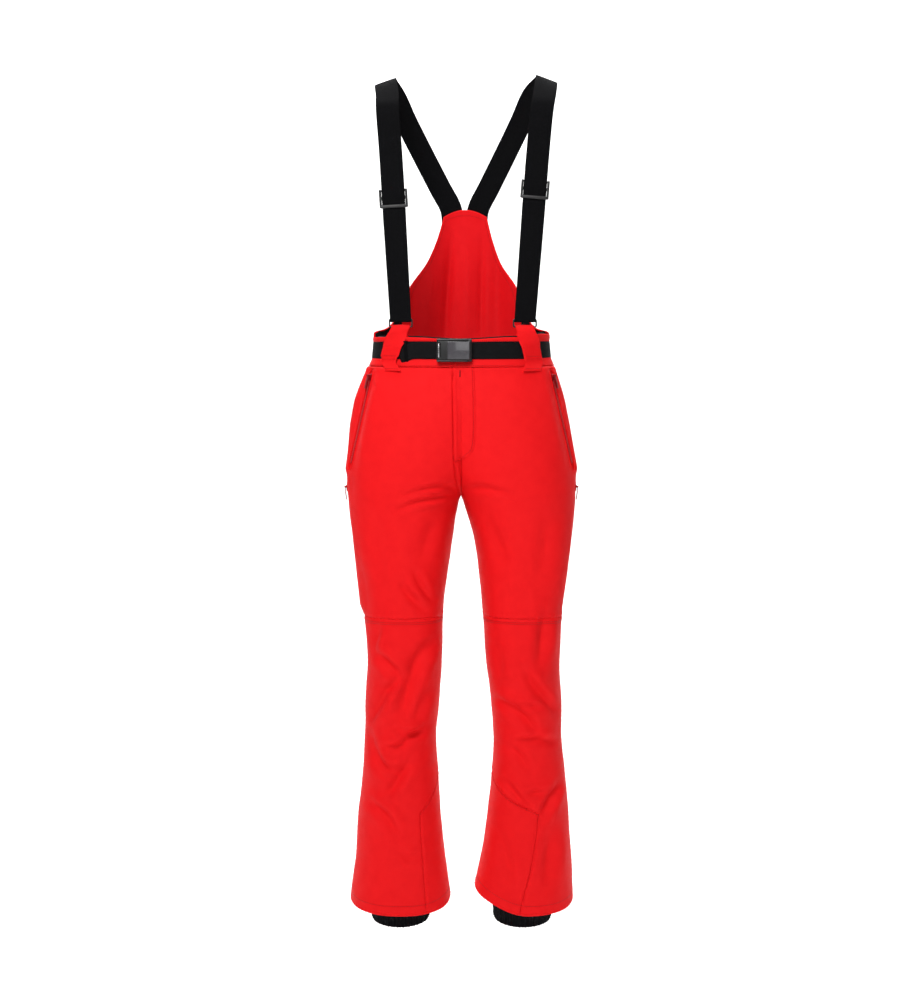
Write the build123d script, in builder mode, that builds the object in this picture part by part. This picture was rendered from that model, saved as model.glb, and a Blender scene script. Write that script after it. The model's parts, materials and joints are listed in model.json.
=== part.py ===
"""Ski pants: fabric shell panels, waistband, raised back bib, elastic suspenders, belt and gaiters.

The frame: +Z up, the wearer faces -Y, +X is the wearer's left. The origin is the centre of the
waist opening, at the height of the belt. All sizes are in millimetres.
"""

import os
from math import copysign, cos, pi, radians, sin

from build123d import *

os.makedirs("parts", exist_ok=True)

# ---- Driving dimensions -------------------------------------------------------------------
waist_half_width = 160.0
waist_half_depth = 102.0
waist_tilt = 6.0  # degrees by which the waist dips towards the front
hip_half_width = 207.0
hip_half_depth = 126.0
crotch_drop = 268.0  # all drops are measured down from the belt
knee_drop = 486.0
calf_drop = 708.0
hem_drop = 998.0
thigh_half_width = 91.0
thigh_half_depth = 100.0
knee_half_width = 70.0
knee_half_depth = 81.0
calf_half_width = 63.0
calf_half_depth = 78.0
hem_half_width = 89.0
hem_half_depth = 94.0
leg_centre = 112.0
knee_forward = 12.0
hem_back = 42.0
hem_slope = 0.17  # the hem is square to a shin that leans back
squareness = 2.3  # exponent of the cross-sections, where 2 is an ellipse
panel_thickness = 3.0
lining_thickness = 1.5

band_below = 27.0  # from the belt's centre line to the waistband's two edges
band_above = 24.0
band_thickness = 2.4
band_flare = 7.0

belt_width = 30.0
belt_thickness = 2.0
belt_gap = 1.0

bib_height = 274.0
bib_thickness = 2.4
bib_top_half_width = 39.0

strap_width = 42.0
strap_thickness = 1.6
strap_gap = 3.4  # between the two layers of the looped strap
shoulder_height = 400.0  # where the strap's arch over the shoulder begins
shoulder_radius = 95.0
strap_end_x = 22.0
adjuster_length = 26.0
ring_height = 41.0
ring_wire = 2.8
ring_window = 10.4
loop_width = 36.0
# The two suspenders are set a little differently, as they are worn.
left_ring_x = 112.0
left_loop_x = 126.0  # the loop leans outwards from its ring down to the waistband
left_shoulder_x = 139.0
left_adjuster_height = 277.0
right_ring_x = 107.0
right_loop_x = 124.0
right_shoulder_x = 128.0
right_adjuster_height = 261.0

buckle_x = -13.0
buckle_length = 62.0
buckle_height = 42.0
buckle_depth = 9.5
pin_radius = 1.25
running_gap = 0.05
clearance = 0.4
tail_gap = 0.3  # between the belt and its tail

fly_edge_x = -14.0
fly_stitch_x = 22.0
fly_length = 0.634 * crotch_drop

zip_slot = 14.0
pocket_zip_length = 0.612 * crotch_drop
vent_zip_length = 0.968 * (knee_drop - crotch_drop)
fly_zip_length = 0.485 * crotch_drop
pull_length = 24.0

gaiter_half_width = 53.0
gaiter_half_depth = 52.0
gaiter_drop = hem_drop + 36
gaiter_thickness = 2.0
gaiter_top_drop = hem_drop - 148

guard_edge_x = 92.0
guard_top_drop = hem_drop - 183
side_seam_y = 5.0


# ---- Helpers ------------------------------------------------------------------------------
def oval(plane, half_width, half_depth, centre=(0, 0)):
    """One closed cross-section, a little squarer than an ellipse."""
    points = []
    for step in range(12):
        turn = 2 * pi * step / 12
        across = copysign(abs(cos(turn)) ** (2 / squareness), cos(turn))
        deep = copysign(abs(sin(turn)) ** (2 / squareness), sin(turn))
        points.append((centre[0] + half_width * across, centre[1] + half_depth * deep))
    with BuildSketch(plane) as section:
        with BuildLine():
            Spline(*points, periodic=True)
        make_face()
    return section.sketch


def oval_y(x, half_width, half_depth):
    """How far in front of the centre the cross-section's wall stands at x."""
    return half_depth * (1 - abs(x / half_width) ** squareness) ** (1 / squareness)


def lofted(sections, ruled=False):
    with BuildPart() as solid:
        loft(sections, ruled=ruled)
    return solid.part


def block(low, high, mode=Mode.ADD):
    """A box given by its lowest and highest corners."""
    centre = [(a + b) / 2 for a, b in zip(low, high)]
    with Locations(tuple(centre)):
        Box(high[0] - low[0], high[1] - low[1], high[2] - low[2], mode=mode)


def write(part, name):
    part.label = name
    export_step(part, f"parts/{name}.step")


def mirrored(part):
    with BuildPart() as other_side:
        add(mirror(part, about=Plane.YZ, mode=Mode.PRIVATE))
    return other_side.part


def write_pair(part, name):
    """Writes the wearer's left piece and its mirror image for the right."""
    write(part, f"{name}_left")
    write(mirrored(part), f"{name}_right")


FAR = 2000.0
waist_plane = Plane(
    origin=(0, 0, 0),
    x_dir=(1, 0, 0),
    z_dir=(0, -sin(radians(waist_tilt)), cos(radians(waist_tilt))),
)
band_bottom = waist_plane.offset(-band_below)
band_top = waist_plane.offset(band_above)
hem_plane = Plane(origin=(0, hem_back, -hem_drop), x_dir=(1, 0, 0), z_dir=(0, -hem_slope, 1))


# ---- The leg and seat form ----------------------------------------------------------------
def station(drop, centre_x, outer_x, centre_y, half_depth):
    return drop, centre_x, outer_x - centre_x, centre_y, half_depth


knee_outer_x = leg_centre + knee_half_width
calf_outer_x = leg_centre + 4 + calf_half_width
stations = [
    station(-60, 0, waist_half_width - 5, 0, waist_half_depth - 4),
    station(band_below, 8, waist_half_width + 8, 0, waist_half_depth + 4),
    station(0.33 * crotch_drop, 0.32 * leg_centre, hip_half_width - 17, 2, hip_half_depth - 9),
    station(0.56 * crotch_drop, 0.57 * leg_centre, hip_half_width - 6, 6, hip_half_depth - 1),
    station(0.80 * crotch_drop, 0.77 * leg_centre, hip_half_width, 8, hip_half_depth),
    station(crotch_drop, 0.94 * leg_centre, hip_half_width + 1, 5, hip_half_depth - 7),
    station(crotch_drop + 77, leg_centre - 1, leg_centre - 1 + thigh_half_width, 0, thigh_half_depth),
    station(knee_drop - 31, leg_centre - 4, knee_outer_x, 2 - knee_forward, knee_half_depth + 3),
    station(knee_drop + 74, leg_centre - 4, knee_outer_x - 7, -8, knee_half_depth - 3),
    station(calf_drop, leg_centre + 4, calf_outer_x, 0.4 * hem_back, calf_half_depth),
    station(hem_drop - 143, leg_centre + 5, calf_outer_x + 13, 0.76 * hem_back, calf_half_depth + 6),
    station(hem_drop - 23, leg_centre, leg_centre + hem_half_width - 1, 0.95 * hem_back, hem_half_depth - 1),
    station(hem_drop + 42, leg_centre, leg_centre + hem_half_width + 2, hem_back + 2, hem_half_depth + 2),
]


def leg_form(inset):
    """The wearer's left half of the body form, drawn in by inset."""
    sections = []
    for drop, centre_x, half_width, centre_y, half_depth in stations:
        sections.append(
            oval(Plane.XY.offset(-drop), half_width - inset, half_depth - inset, (centre_x, centre_y))
        )
    return lofted(sections)


outer_form = leg_form(0)
inner_form = leg_form(panel_thickness)


# ---- Zips: straight runs let into a slot in the shell -------------------------------------
def zip_plane(top, bottom, outward):
    """Local x is the tape's width, y runs down the zip and z points out of the garment."""
    down = (Vector(bottom) - Vector(top)).normalized()
    normal = (Vector(outward) - down * Vector(outward).dot(down)).normalized()
    return Plane(origin=top, x_dir=down.cross(normal), z_dir=normal)


pocket_plane = zip_plane(
    (waist_half_width + 1.5, -0.47 * waist_half_depth, -band_below - 18),
    (hip_half_width - 8.5, -0.35 * hip_half_depth, -band_below - 18 - 0.6 * crotch_drop),
    (0.88, -0.47, 0),
)
vent_y = -0.15 * thigh_half_depth
vent_plane = zip_plane(
    (hip_half_width - 1, vent_y, 26 - crotch_drop),
    (knee_outer_x + 1, vent_y, 34 - knee_drop),
    (1, -0.07, 0),
)
fly_y = -(waist_half_depth - 12)
fly_zip_x = (fly_edge_x + fly_stitch_x) / 2
fly_top = -band_below - 13
fly_bottom = fly_top - fly_zip_length
fly_plane = zip_plane((fly_zip_x, fly_y, fly_top), (fly_zip_x, fly_y + 4, fly_bottom), (0, -1, 0))

tape_width = zip_slot - 2.0
tape_thickness = 0.8
teeth_width = 4.4
teeth_height = 2.0
slider_length = 12.0
slider_width = 9.0
slider_top = 3.0
lug_gap = 5.8
lug_wall = 1.4
pull_pin_z = 4.9
pull_pin_y = 4.5
pull_pin_radius = 0.8


def zip_slot_cutter(plane, length):
    with BuildPart(plane) as cutter:
        block((-zip_slot / 2, -4, -30), (zip_slot / 2, length + pull_length + 6, 30))
    return cutter.part


def zip_chain(plane, length):
    with BuildPart(plane) as chain:
        block((-tape_width / 2, -3, -tape_thickness - 0.8), (tape_width / 2, length, -0.8))
        block((-teeth_width / 2, 0, -0.8), (teeth_width / 2, length, teeth_height - 0.8))
    return chain.part


def zip_slider(plane):
    channel = teeth_width / 2 + 0.3
    lug_outer = lug_gap / 2 + lug_wall
    with BuildPart(plane) as slider:
        block((-slider_width / 2, 1, -0.5), (slider_width / 2, 1 + slider_length, slider_top))
        block((-channel, 0, -0.5), (channel, 2 + slider_length, teeth_height - 0.5), Mode.SUBTRACT)
        for side in (-1, 1):
            inner, outer = sorted((side * lug_gap / 2, side * lug_outer))
            block((inner, pull_pin_y - 1.8, slider_top), (outer, pull_pin_y + 1.8, pull_pin_z + 1.6))
        with Locations((0, pull_pin_y, pull_pin_z)):
            Cylinder(pull_pin_radius, lug_gap + lug_wall, rotation=(0, 90, 0))
    return slider.part


def zip_pull(plane):
    eye_width = lug_gap - 2 * clearance
    with BuildPart(plane) as pull:
        with Locations((0, pull_pin_y, pull_pin_z)):
            Cylinder(pull_pin_radius + 0.9, eye_width, rotation=(0, 90, 0))
        block((-eye_width / 2, pull_pin_y, pull_pin_z - 0.7), (eye_width / 2, 9, pull_pin_z + 0.7))
        block((-4, 8, pull_pin_z - 0.7), (4, pull_pin_y + pull_length, pull_pin_z + 0.7))
        with Locations((0, pull_pin_y, pull_pin_z)):
            Cylinder(pull_pin_radius + running_gap, 2 * eye_width, rotation=(0, 90, 0), mode=Mode.SUBTRACT)
    return pull.part


slots = [zip_slot_cutter(pocket_plane, pocket_zip_length), zip_slot_cutter(vent_plane, vent_zip_length)]
for zip_name, plane, length in (
    ("pocket", pocket_plane, pocket_zip_length),
    ("vent", vent_plane, vent_zip_length),
):
    write_pair(zip_chain(plane, length), f"{zip_name}_zip")
    write_pair(zip_slider(plane), f"{zip_name}_slider")
    write_pair(zip_pull(plane), f"{zip_name}_pull")
write(zip_chain(fly_plane, fly_zip_length), "fly_zip")
write(zip_slider(fly_plane), "fly_slider")
write(zip_pull(fly_plane), "fly_pull")


# ---- Shell panels -------------------------------------------------------------------------
def trim_to_garment():
    """Cuts the form at the centre line, at the waistband and at the hem."""
    block((0, -FAR, -FAR), (FAR, FAR, FAR), Mode.INTERSECT)
    split(bisect_by=band_bottom, keep=Keep.BOTTOM)
    split(bisect_by=hem_plane, keep=Keep.TOP)


with BuildPart() as shell_half:
    add(outer_form)
    add(inner_form, mode=Mode.SUBTRACT)
    trim_to_garment()
half = shell_half.part

with BuildPart() as fly_cut:
    block((fly_edge_x, -FAR, -band_below - fly_length), (fly_stitch_x, 0, FAR))
with BuildPart() as fly_cut_other_side:
    block((-fly_stitch_x, -FAR, -band_below - fly_length), (-fly_edge_x, 0, FAR))

with BuildPart() as front_panel_left:
    add(half)
    block((-FAR, -FAR, -knee_drop), (FAR, side_seam_y, FAR), Mode.INTERSECT)
    add(slots, mode=Mode.SUBTRACT)
    add(fly_cut.part, mode=Mode.SUBTRACT)
write(front_panel_left.part, "front_panel_left")

with BuildPart() as front_panel_right:
    add(mirror(half, about=Plane.YZ, mode=Mode.PRIVATE))
    block((-FAR, -FAR, -knee_drop), (FAR, side_seam_y, FAR), Mode.INTERSECT)
    add([mirror(slot, about=Plane.YZ, mode=Mode.PRIVATE) for slot in slots], mode=Mode.SUBTRACT)
    add(fly_cut.part, mode=Mode.SUBTRACT)
write(front_panel_right.part, "front_panel_right")

with BuildPart() as fly_flap:
    add(half)
    add(mirror(half, about=Plane.YZ, mode=Mode.PRIVATE))
    add(fly_cut.part, mode=Mode.INTERSECT)
write(fly_flap.part, "fly_flap")

with BuildPart() as edge_guard:
    add(half)
    block((-FAR, -FAR, -FAR), (guard_edge_x, FAR, -guard_top_drop), Mode.INTERSECT)
write_pair(edge_guard.part, "edge_guard")

with BuildPart() as shin_panel:
    add(half)
    block((-FAR, -FAR, -FAR), (FAR, side_seam_y, -knee_drop), Mode.INTERSECT)
    block((-FAR, -FAR, -FAR), (guard_edge_x, FAR, -guard_top_drop), Mode.SUBTRACT)
write_pair(shin_panel.part, "shin_panel")

with BuildPart() as back_panel:
    add(half)
    block((-FAR, side_seam_y, -FAR), (FAR, FAR, FAR), Mode.INTERSECT)
    block((-FAR, -FAR, -FAR), (guard_edge_x, FAR, -guard_top_drop), Mode.SUBTRACT)
write_pair(back_panel.part, "back_panel")


# ---- Inside the shell: pocket bags, vent mesh, fly shield ---------------------------------
def inner_skin(inset, thickness, low, high):
    """A patch of cloth that follows the shell, inset from its outer face."""
    with BuildPart() as patch:
        add(leg_form(inset))
        add(leg_form(inset + thickness), mode=Mode.SUBTRACT)
        block(low, high, Mode.INTERSECT)
    return patch.part


pocket_bag = inner_skin(panel_thickness + 1.5, 3.0, (62, -FAR, -225), (FAR, -64, -58))
write_pair(pocket_bag, "pocket_bag")
mesh_low, mesh_high = (leg_centre, -42, 12 - knee_drop), (FAR, 12, 34 - crotch_drop)
vent_mesh = inner_skin(panel_thickness + 13, 1.2, mesh_low, mesh_high)
write_pair(vent_mesh, "vent_mesh")

with BuildPart(fly_plane) as fly_shield:
    block((-34, -8, -4.5), (34, fly_zip_length + 12, -3.0))
    fillet(fly_shield.edges().filter_by(Axis((0, 0, 0), fly_plane.z_dir)), 8)
write(fly_shield.part, "fly_shield")


# ---- Waistband, lining and back bib -------------------------------------------------------
def band_core(inset, below=0.0):
    """The solid inside a band layer; the band is wider at its lower edge than at its top."""
    low_width = waist_half_width + band_flare * (1 + below / (band_below + band_above))
    low_depth = waist_half_depth + 0.5 * band_flare * (1 + below / (band_below + band_above))
    return lofted([
        oval(band_bottom.offset(-below), low_width - inset, low_depth - inset),
        oval(band_top, waist_half_width - 1 - inset, waist_half_depth - 1 - inset),
    ])


def band_ring(inset, thickness):
    with BuildPart() as ring:
        add(band_core(inset))
        add(band_core(inset + thickness), mode=Mode.SUBTRACT)
    return ring.part


with BuildPart() as waistband:
    add(band_ring(0, band_thickness))
    block((fly_edge_x - 0.3, -FAR, -FAR), (fly_edge_x + 0.3, 0, FAR), Mode.SUBTRACT)
write(waistband.part, "waistband")

with BuildPart() as waistband_lining:
    add(band_ring(band_thickness, lining_thickness))
    block((fly_edge_x - 0.3, -FAR, -FAR), (fly_edge_x + 0.3, 0, FAR), Mode.SUBTRACT)
write(waistband_lining.part, "waistband_lining")


def bib_outline():
    """The bib's outline from behind: a rounded peak on concave sides."""
    base = waist_half_width - 2
    top_corner = (bib_top_half_width, bib_height - 13)
    right = [top_corner, (50, 211), (66, 176), (101, 122), (base - 25, 54), (base, 20)]
    left = [(-x, z) for x, z in reversed(right)]
    with BuildSketch(Plane.XZ) as outline:
        with BuildLine():
            ThreePointArc(left[-1], (0, bib_height), right[0])
            Spline(*right)
            Line(right[-1], left[0])
            Spline(*left)
        make_face()
    return outline.sketch


def bib_wall(inset):
    """An upright solid whose outer face is the bib's, drawn in by inset."""
    half_width, half_depth = waist_half_width - 1 - inset, waist_half_depth - 1 - inset
    with BuildPart() as wall:
        extrude(oval(Plane.XY.offset(-50), half_width, half_depth), amount=bib_height + 80)
    return wall.part


def bib_layer(inset, thickness):
    with BuildPart() as layer:
        add(bib_wall(inset))
        add(bib_wall(inset + thickness), mode=Mode.SUBTRACT)
        block((-FAR, 0, -FAR), (FAR, FAR, FAR), Mode.INTERSECT)
        extrude(bib_outline(), amount=-FAR, mode=Mode.INTERSECT)
        split(bisect_by=band_top, keep=Keep.TOP)
    return layer.part


write(bib_layer(0, bib_thickness), "back_bib")
write(bib_layer(bib_thickness, lining_thickness), "bib_lining")


# ---- Belt, its loops and buckle -----------------------------------------------------------
belt_inner_width = waist_half_width + band_flare - 2 + belt_gap
belt_inner_depth = waist_half_depth + 0.5 * band_flare - 0.9 + belt_gap


def waist_ring(outset, thickness, low, high):
    """A band of webbing or cloth round the waist, outset from the belt's inner face."""
    foot = waist_plane.offset(low)
    outer = outset + thickness
    with BuildPart() as ring:
        extrude(oval(foot, belt_inner_width + outer, belt_inner_depth + outer), amount=high - low)
        hole = oval(foot, belt_inner_width + outset, belt_inner_depth + outset)
        extrude(hole, amount=high - low, mode=Mode.SUBTRACT)
    return ring.part


with BuildPart() as belt:
    add(waist_ring(0, belt_thickness, -belt_width / 2, belt_width / 2))
    block((buckle_x - 10, -FAR, -FAR), (buckle_x + 10, 0, FAR), Mode.SUBTRACT)
write(belt.part, "belt")

tail_end_x = -102.0
keeper_x = -97.0
buckle_left = buckle_x - buckle_length / 2
with BuildPart() as belt_tail:
    add(waist_ring(belt_thickness + tail_gap, belt_thickness - 0.4, -belt_width / 2 + 1, belt_width / 2 - 1))
    block((tail_end_x, -FAR, -FAR), (buckle_left + 4, 0, FAR), Mode.INTERSECT)
write(belt_tail.part, "belt_tail")

# The keeper is a closed elastic band round the belt and its tail.
keeper_outer = 2 * belt_thickness + tail_gap
with BuildPart() as belt_keeper:
    add(waist_ring(-0.6, keeper_outer + 1.4, -belt_width / 2 - 1.4, belt_width / 2 + 1.4))
    add(waist_ring(-0.1, keeper_outer, -belt_width / 2 - 0.2, belt_width / 2 + 0.2), mode=Mode.SUBTRACT)
    block((keeper_x - 4, -FAR, -FAR), (keeper_x + 4, 0, FAR), Mode.INTERSECT)
write(belt_keeper.part, "belt_keeper")

loop_outset = belt_thickness + clearance
loop_thickness = 2.4
loop_backing = band_core(-0.6, below=12)
loop_inner_width = belt_inner_width + loop_outset
loop_inner_depth = belt_inner_depth + loop_outset


def loop_band(low, high):
    """A cloth loop's front layer and the two feet by which it is sewn to the waistband."""
    foot = 5.0
    with BuildPart() as band:
        add(waist_ring(loop_outset, loop_thickness, low, high))
        add(waist_ring(-12, loop_outset + loop_thickness + 12, low, low + foot))
        add(waist_ring(-12, loop_outset + loop_thickness + 12, high - foot, high))
        add(loop_backing, mode=Mode.SUBTRACT)
    return band.part


with BuildPart() as belt_loop_back:
    add(loop_band(-belt_width / 2 - 7, belt_width / 2 + 7))
    block((84, 0, -FAR), (102, FAR, FAR), Mode.INTERSECT)
write_pair(belt_loop_back.part, "belt_loop_back")

# Suspender loop: over the belt, then up to a fold that holds the strap ring.
ring_top_bar = ring_height + ring_window / 2 + ring_wire / 2
ring_low_bar = ring_height - ring_window / 2 - ring_wire / 2
fold_depth = ring_wire + 2 * clearance + 2 * belt_thickness
fold_bottom = ring_low_bar - 8
strap_low = ring_top_bar - ring_wire / 2 - clearance - strap_thickness


class StrapSet:
    """Where one suspender runs. Both are built on the wearer's left side; the right is mirrored."""

    def __init__(self, ring_x, loop_x, shoulder_x, adjuster_height):
        self.ring_x = ring_x
        self.loop_x = loop_x
        self.shoulder_x = shoulder_x
        self.adjuster_height = adjuster_height
        self.ring_y = -oval_y(ring_x, waist_half_width, waist_half_depth) - 6
        self.base = Vector(ring_x, self.ring_y - (strap_gap + strap_thickness) / 2, strap_low)
        self.top = Vector(shoulder_x, -shoulder_radius, shoulder_height)
        self.direction = (self.top - self.base).normalized()

    def point(self, z):
        """The centre of the front run of the strap at height z."""
        return self.base + (self.top - self.base) * ((z - self.base.Z) / (self.top.Z - self.base.Z))


strap_sets = {
    "left": StrapSet(left_ring_x, left_loop_x, left_shoulder_x, left_adjuster_height),
    "right": StrapSet(right_ring_x, right_loop_x, right_shoulder_x, right_adjuster_height),
}


def write_sides(make, name):
    """Writes the piece that make returns for each suspender's own sizes."""
    write(make(strap_sets["left"]), f"{name}_left")
    write(mirrored(make(strap_sets["right"])), f"{name}_right")


def suspender_loop(strap):
    gap = ring_wire / 2 + clearance
    with BuildPart() as loop:
        add(loop_band(-belt_width / 2 - 8, belt_width / 2 + 7))
        edges = (strap.loop_x - loop_width / 2, strap.loop_x + loop_width / 2)
        block((edges[0], -FAR, -FAR), (edges[1], 0, FAR), Mode.INTERSECT)
        with BuildSketch(Plane.XY.offset(8)) as loop_base:
            base_y = -oval_y(strap.loop_x, loop_inner_width, loop_inner_depth)
            with Locations(Location((strap.loop_x - 1, base_y - 0.2, 0), 32)):
                Rectangle(loop_width - 4, 4)
        with BuildSketch(Plane.XY.offset(fold_bottom)) as loop_top:
            with Locations((strap.ring_x, strap.ring_y)):
                Rectangle(loop_width, fold_depth)
        loft([loop_base.sketch, loop_top.sketch])
        fold_top = ring_low_bar + ring_wire / 2 + 2
        block(
            (strap.ring_x - loop_width / 2, strap.ring_y - fold_depth / 2, fold_bottom),
            (strap.ring_x + loop_width / 2, strap.ring_y + fold_depth / 2, fold_top),
        )
        block(
            (strap.ring_x - loop_width, strap.ring_y - gap, ring_low_bar - gap),
            (strap.ring_x + loop_width, strap.ring_y + gap, ring_low_bar + gap),
            Mode.SUBTRACT,
        )
    return loop.part


write_sides(suspender_loop, "suspender_loop")

# Buckle: a tray with two rails, a pin through their ends and a lever that clamps the webbing.
tray_back = belt_inner_depth + belt_thickness + clearance
buckle_front = tray_back + buckle_depth
pin_x = buckle_left + 4
pin_y = -(tray_back + 6)
rail = (buckle_height - belt_width) / 2 - 1
knuckle_radius = 3.0
lever_half_height = buckle_height / 2 - rail - clearance
buckle_right = buckle_left + buckle_length
with BuildPart(waist_plane) as buckle_frame:
    block((buckle_left, -tray_back - 2.4, -buckle_height / 2), (buckle_right, -tray_back, buckle_height / 2))
    for side in (-1, 1):
        low, high = sorted((side * buckle_height / 2, side * (buckle_height / 2 - rail)))
        block((buckle_left, -buckle_front, low), (buckle_right, -tray_back, high))
    with Locations((pin_x, pin_y, 0)):
        Cylinder(pin_radius, buckle_height + 2, mode=Mode.SUBTRACT)
write(buckle_frame.part, "buckle_frame")

with BuildPart(waist_plane) as buckle_pin:
    with Locations((pin_x, pin_y, 0)):
        Cylinder(pin_radius, buckle_height)
write(buckle_pin.part, "buckle_pin")

lever_end = buckle_right - 1
with BuildPart(waist_plane) as buckle_lever:
    with Locations((pin_x, pin_y, 0)):
        Cylinder(knuckle_radius, 2 * lever_half_height)
    block((pin_x, pin_y - knuckle_radius, -lever_half_height), (lever_end, pin_y - 0.4, lever_half_height))
    with Locations((pin_x, pin_y, 0)):
        Cylinder(pin_radius + running_gap, buckle_height, mode=Mode.SUBTRACT)
write(buckle_lever.part, "buckle_lever")

plate_y = pin_y - knuckle_radius
with BuildPart(waist_plane) as buckle_plate:
    plate_half_height = lever_half_height - 1
    block((buckle_left + 17, plate_y - 1.2, -plate_half_height), (lever_end - 3, plate_y, plate_half_height))
write(buckle_plate.part, "buckle_plate")

# Snap under the belt that holds the waistband's two ends together.
snap_x = 4.0
snap_z = 6.0
cap_y = -(waist_half_depth + 0.5 * band_flare - 1.7)
with BuildPart(waist_plane) as waist_snap_cap:
    with Locations((snap_x, cap_y - 0.6, snap_z)):
        Cylinder(7, 1.2, rotation=(90, 0, 0))
write(waist_snap_cap.part, "waist_snap_cap")

with BuildPart(waist_plane) as waist_snap_stud:
    with Locations((snap_x, cap_y + band_thickness + lining_thickness + 2.4, snap_z)):
        Cylinder(6, 1.4, rotation=(90, 0, 0))
write(waist_snap_stud.part, "waist_snap_stud")


# ---- Suspenders ---------------------------------------------------------------------------
def strap_section(strap, z, offset=0.0):
    point = strap.point(z)
    with BuildSketch(Plane.XY.offset(z)) as section:
        with Locations((point.X, point.Y + offset)):
            Rectangle(strap_width, strap_thickness)
    return section.sketch


def strap_run(strap, z_low, z_high, offset=0.0):
    return lofted([strap_section(strap, z_low, offset), strap_section(strap, z_high, offset)], ruled=True)


back_strap_y = waist_half_depth - 1 + clearance + strap_thickness / 2


def suspender(strap):
    with BuildPart() as piece:
        add(strap_run(strap, strap_low, shoulder_height))
        with BuildSketch(Plane.YZ.offset(strap.shoulder_x - strap_width / 2)):
            with Locations((0, shoulder_height)):
                Circle(shoulder_radius + strap_thickness / 2)
                Circle(shoulder_radius - strap_thickness / 2, mode=Mode.SUBTRACT)
            with Locations((0, shoulder_height + shoulder_radius)):
                Rectangle(3 * shoulder_radius, 2 * shoulder_radius, mode=Mode.INTERSECT)
        extrude(amount=strap_width)
        with BuildSketch(Plane.XY.offset(shoulder_height)) as back_top:
            with Locations((strap.shoulder_x, shoulder_radius)):
                Rectangle(strap_width, strap_thickness)
        with BuildSketch(Plane.XY.offset(bib_height + 10)) as bib_top:
            with Locations((strap_end_x + 3, back_strap_y)):
                Rectangle(strap_width + 4, strap_thickness)
        with BuildSketch(Plane.XY.offset(bib_height - 34)) as bib_end:
            with Locations((strap_end_x, back_strap_y)):
                Rectangle(2 * strap_end_x - 2, strap_thickness)
        loft([back_top.sketch, bib_top.sketch], ruled=True)
        loft([bib_top.sketch, bib_end.sketch], ruled=True)
        # the turn under the ring's upper bar, from the front run to the returned layer
        turn_back = strap.base.Y + strap_gap + 1.5 * strap_thickness
        block(
            (strap.ring_x - strap_width / 2, strap.base.Y - strap_thickness / 2, strap_low),
            (strap.ring_x + strap_width / 2, turn_back, strap_low + strap_thickness),
        )
    return piece.part


def strap_return(strap):
    top = strap.adjuster_height - 4
    return strap_run(strap, strap_low + strap_thickness, top, strap_gap + strap_thickness)


def adjuster(strap):
    """A slide with two side rails, two bars in front of the strap and one behind it."""
    rail_width = 4.0
    bar_height = 6.0
    slot_half = strap_width / 2 + clearance
    bar_offset = strap_thickness / 2 + clearance + 1
    low = strap.adjuster_height - adjuster_length / 2
    bars = (
        (low, -bar_offset),
        (low + adjuster_length - bar_height, -bar_offset),
        (strap.adjuster_height - bar_height / 2, bar_offset),
    )
    with BuildPart() as slide:
        for side in (-1, 1):
            point = strap.point(low)
            with BuildSketch(Plane.XY.offset(low)):
                with Locations((point.X + side * (slot_half + rail_width / 2), point.Y + 0.5)):
                    Rectangle(rail_width, 7)
            extrude(amount=adjuster_length / strap.direction.Z, dir=strap.direction)
        for height, offset in bars:
            point = strap.point(height)
            with BuildSketch(Plane.XY.offset(height)):
                with Locations((point.X, point.Y + offset)):
                    Rectangle(2 * (slot_half + rail_width), 2)
            extrude(amount=bar_height / strap.direction.Z, dir=strap.direction)
    return slide.part


def strap_ring(strap):
    with BuildPart() as ring:
        with BuildSketch(Plane.XZ.offset(-strap.ring_y - ring_wire / 2)):
            with Locations((strap.ring_x, ring_height)):
                RectangleRounded(strap_width + 2.4 + 2 * ring_wire, ring_window + 2 * ring_wire, 2.5)
                RectangleRounded(strap_width + 2.4, ring_window, 1.0, mode=Mode.SUBTRACT)
        extrude(amount=ring_wire)
    return ring.part


write_sides(suspender, "suspender")
write_sides(strap_return, "strap_return")
write_sides(adjuster, "adjuster")
write_sides(strap_ring, "strap_ring")


# ---- Gaiters ------------------------------------------------------------------------------
gaiter_centre_y = 0.95 * hem_back
gaiter_sections = [
    (gaiter_top_drop, leg_centre + 5, 0.76 * hem_back, calf_half_width + 7, calf_half_depth + 1),
    (hem_drop - 20, leg_centre, gaiter_centre_y, gaiter_half_width + 5, gaiter_half_depth + 6),
    (gaiter_drop + 12, leg_centre, gaiter_centre_y, gaiter_half_width, gaiter_half_depth),
]
gaiter_plane = Plane(origin=(0, gaiter_centre_y, -gaiter_drop), x_dir=(1, 0, 0), z_dir=(0, -hem_slope, 1))


def gaiter_form(inset):
    return lofted([
        oval(Plane.XY.offset(-drop), half_width - inset, half_depth - inset, (centre_x, centre_y))
        for drop, centre_x, centre_y, half_width, half_depth in gaiter_sections
    ])


with BuildPart() as gaiter:
    add(gaiter_form(0))
    add(gaiter_form(gaiter_thickness), mode=Mode.SUBTRACT)
    split(bisect_by=gaiter_plane, keep=Keep.TOP)
write_pair(gaiter.part, "gaiter")

with BuildPart() as gaiter_elastic:
    add(gaiter_form(gaiter_thickness))
    add(gaiter_form(gaiter_thickness + 2), mode=Mode.SUBTRACT)
    split(bisect_by=gaiter_plane, keep=Keep.TOP)
    split(bisect_by=gaiter_plane.offset(16), keep=Keep.BOTTOM)
write_pair(gaiter_elastic.part, "gaiter_elastic")
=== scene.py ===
import json
import math

import bmesh
import bpy
import numpy as np
from mathutils import Matrix, Vector, noise
from mathutils.bvhtree import BVHTree


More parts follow.
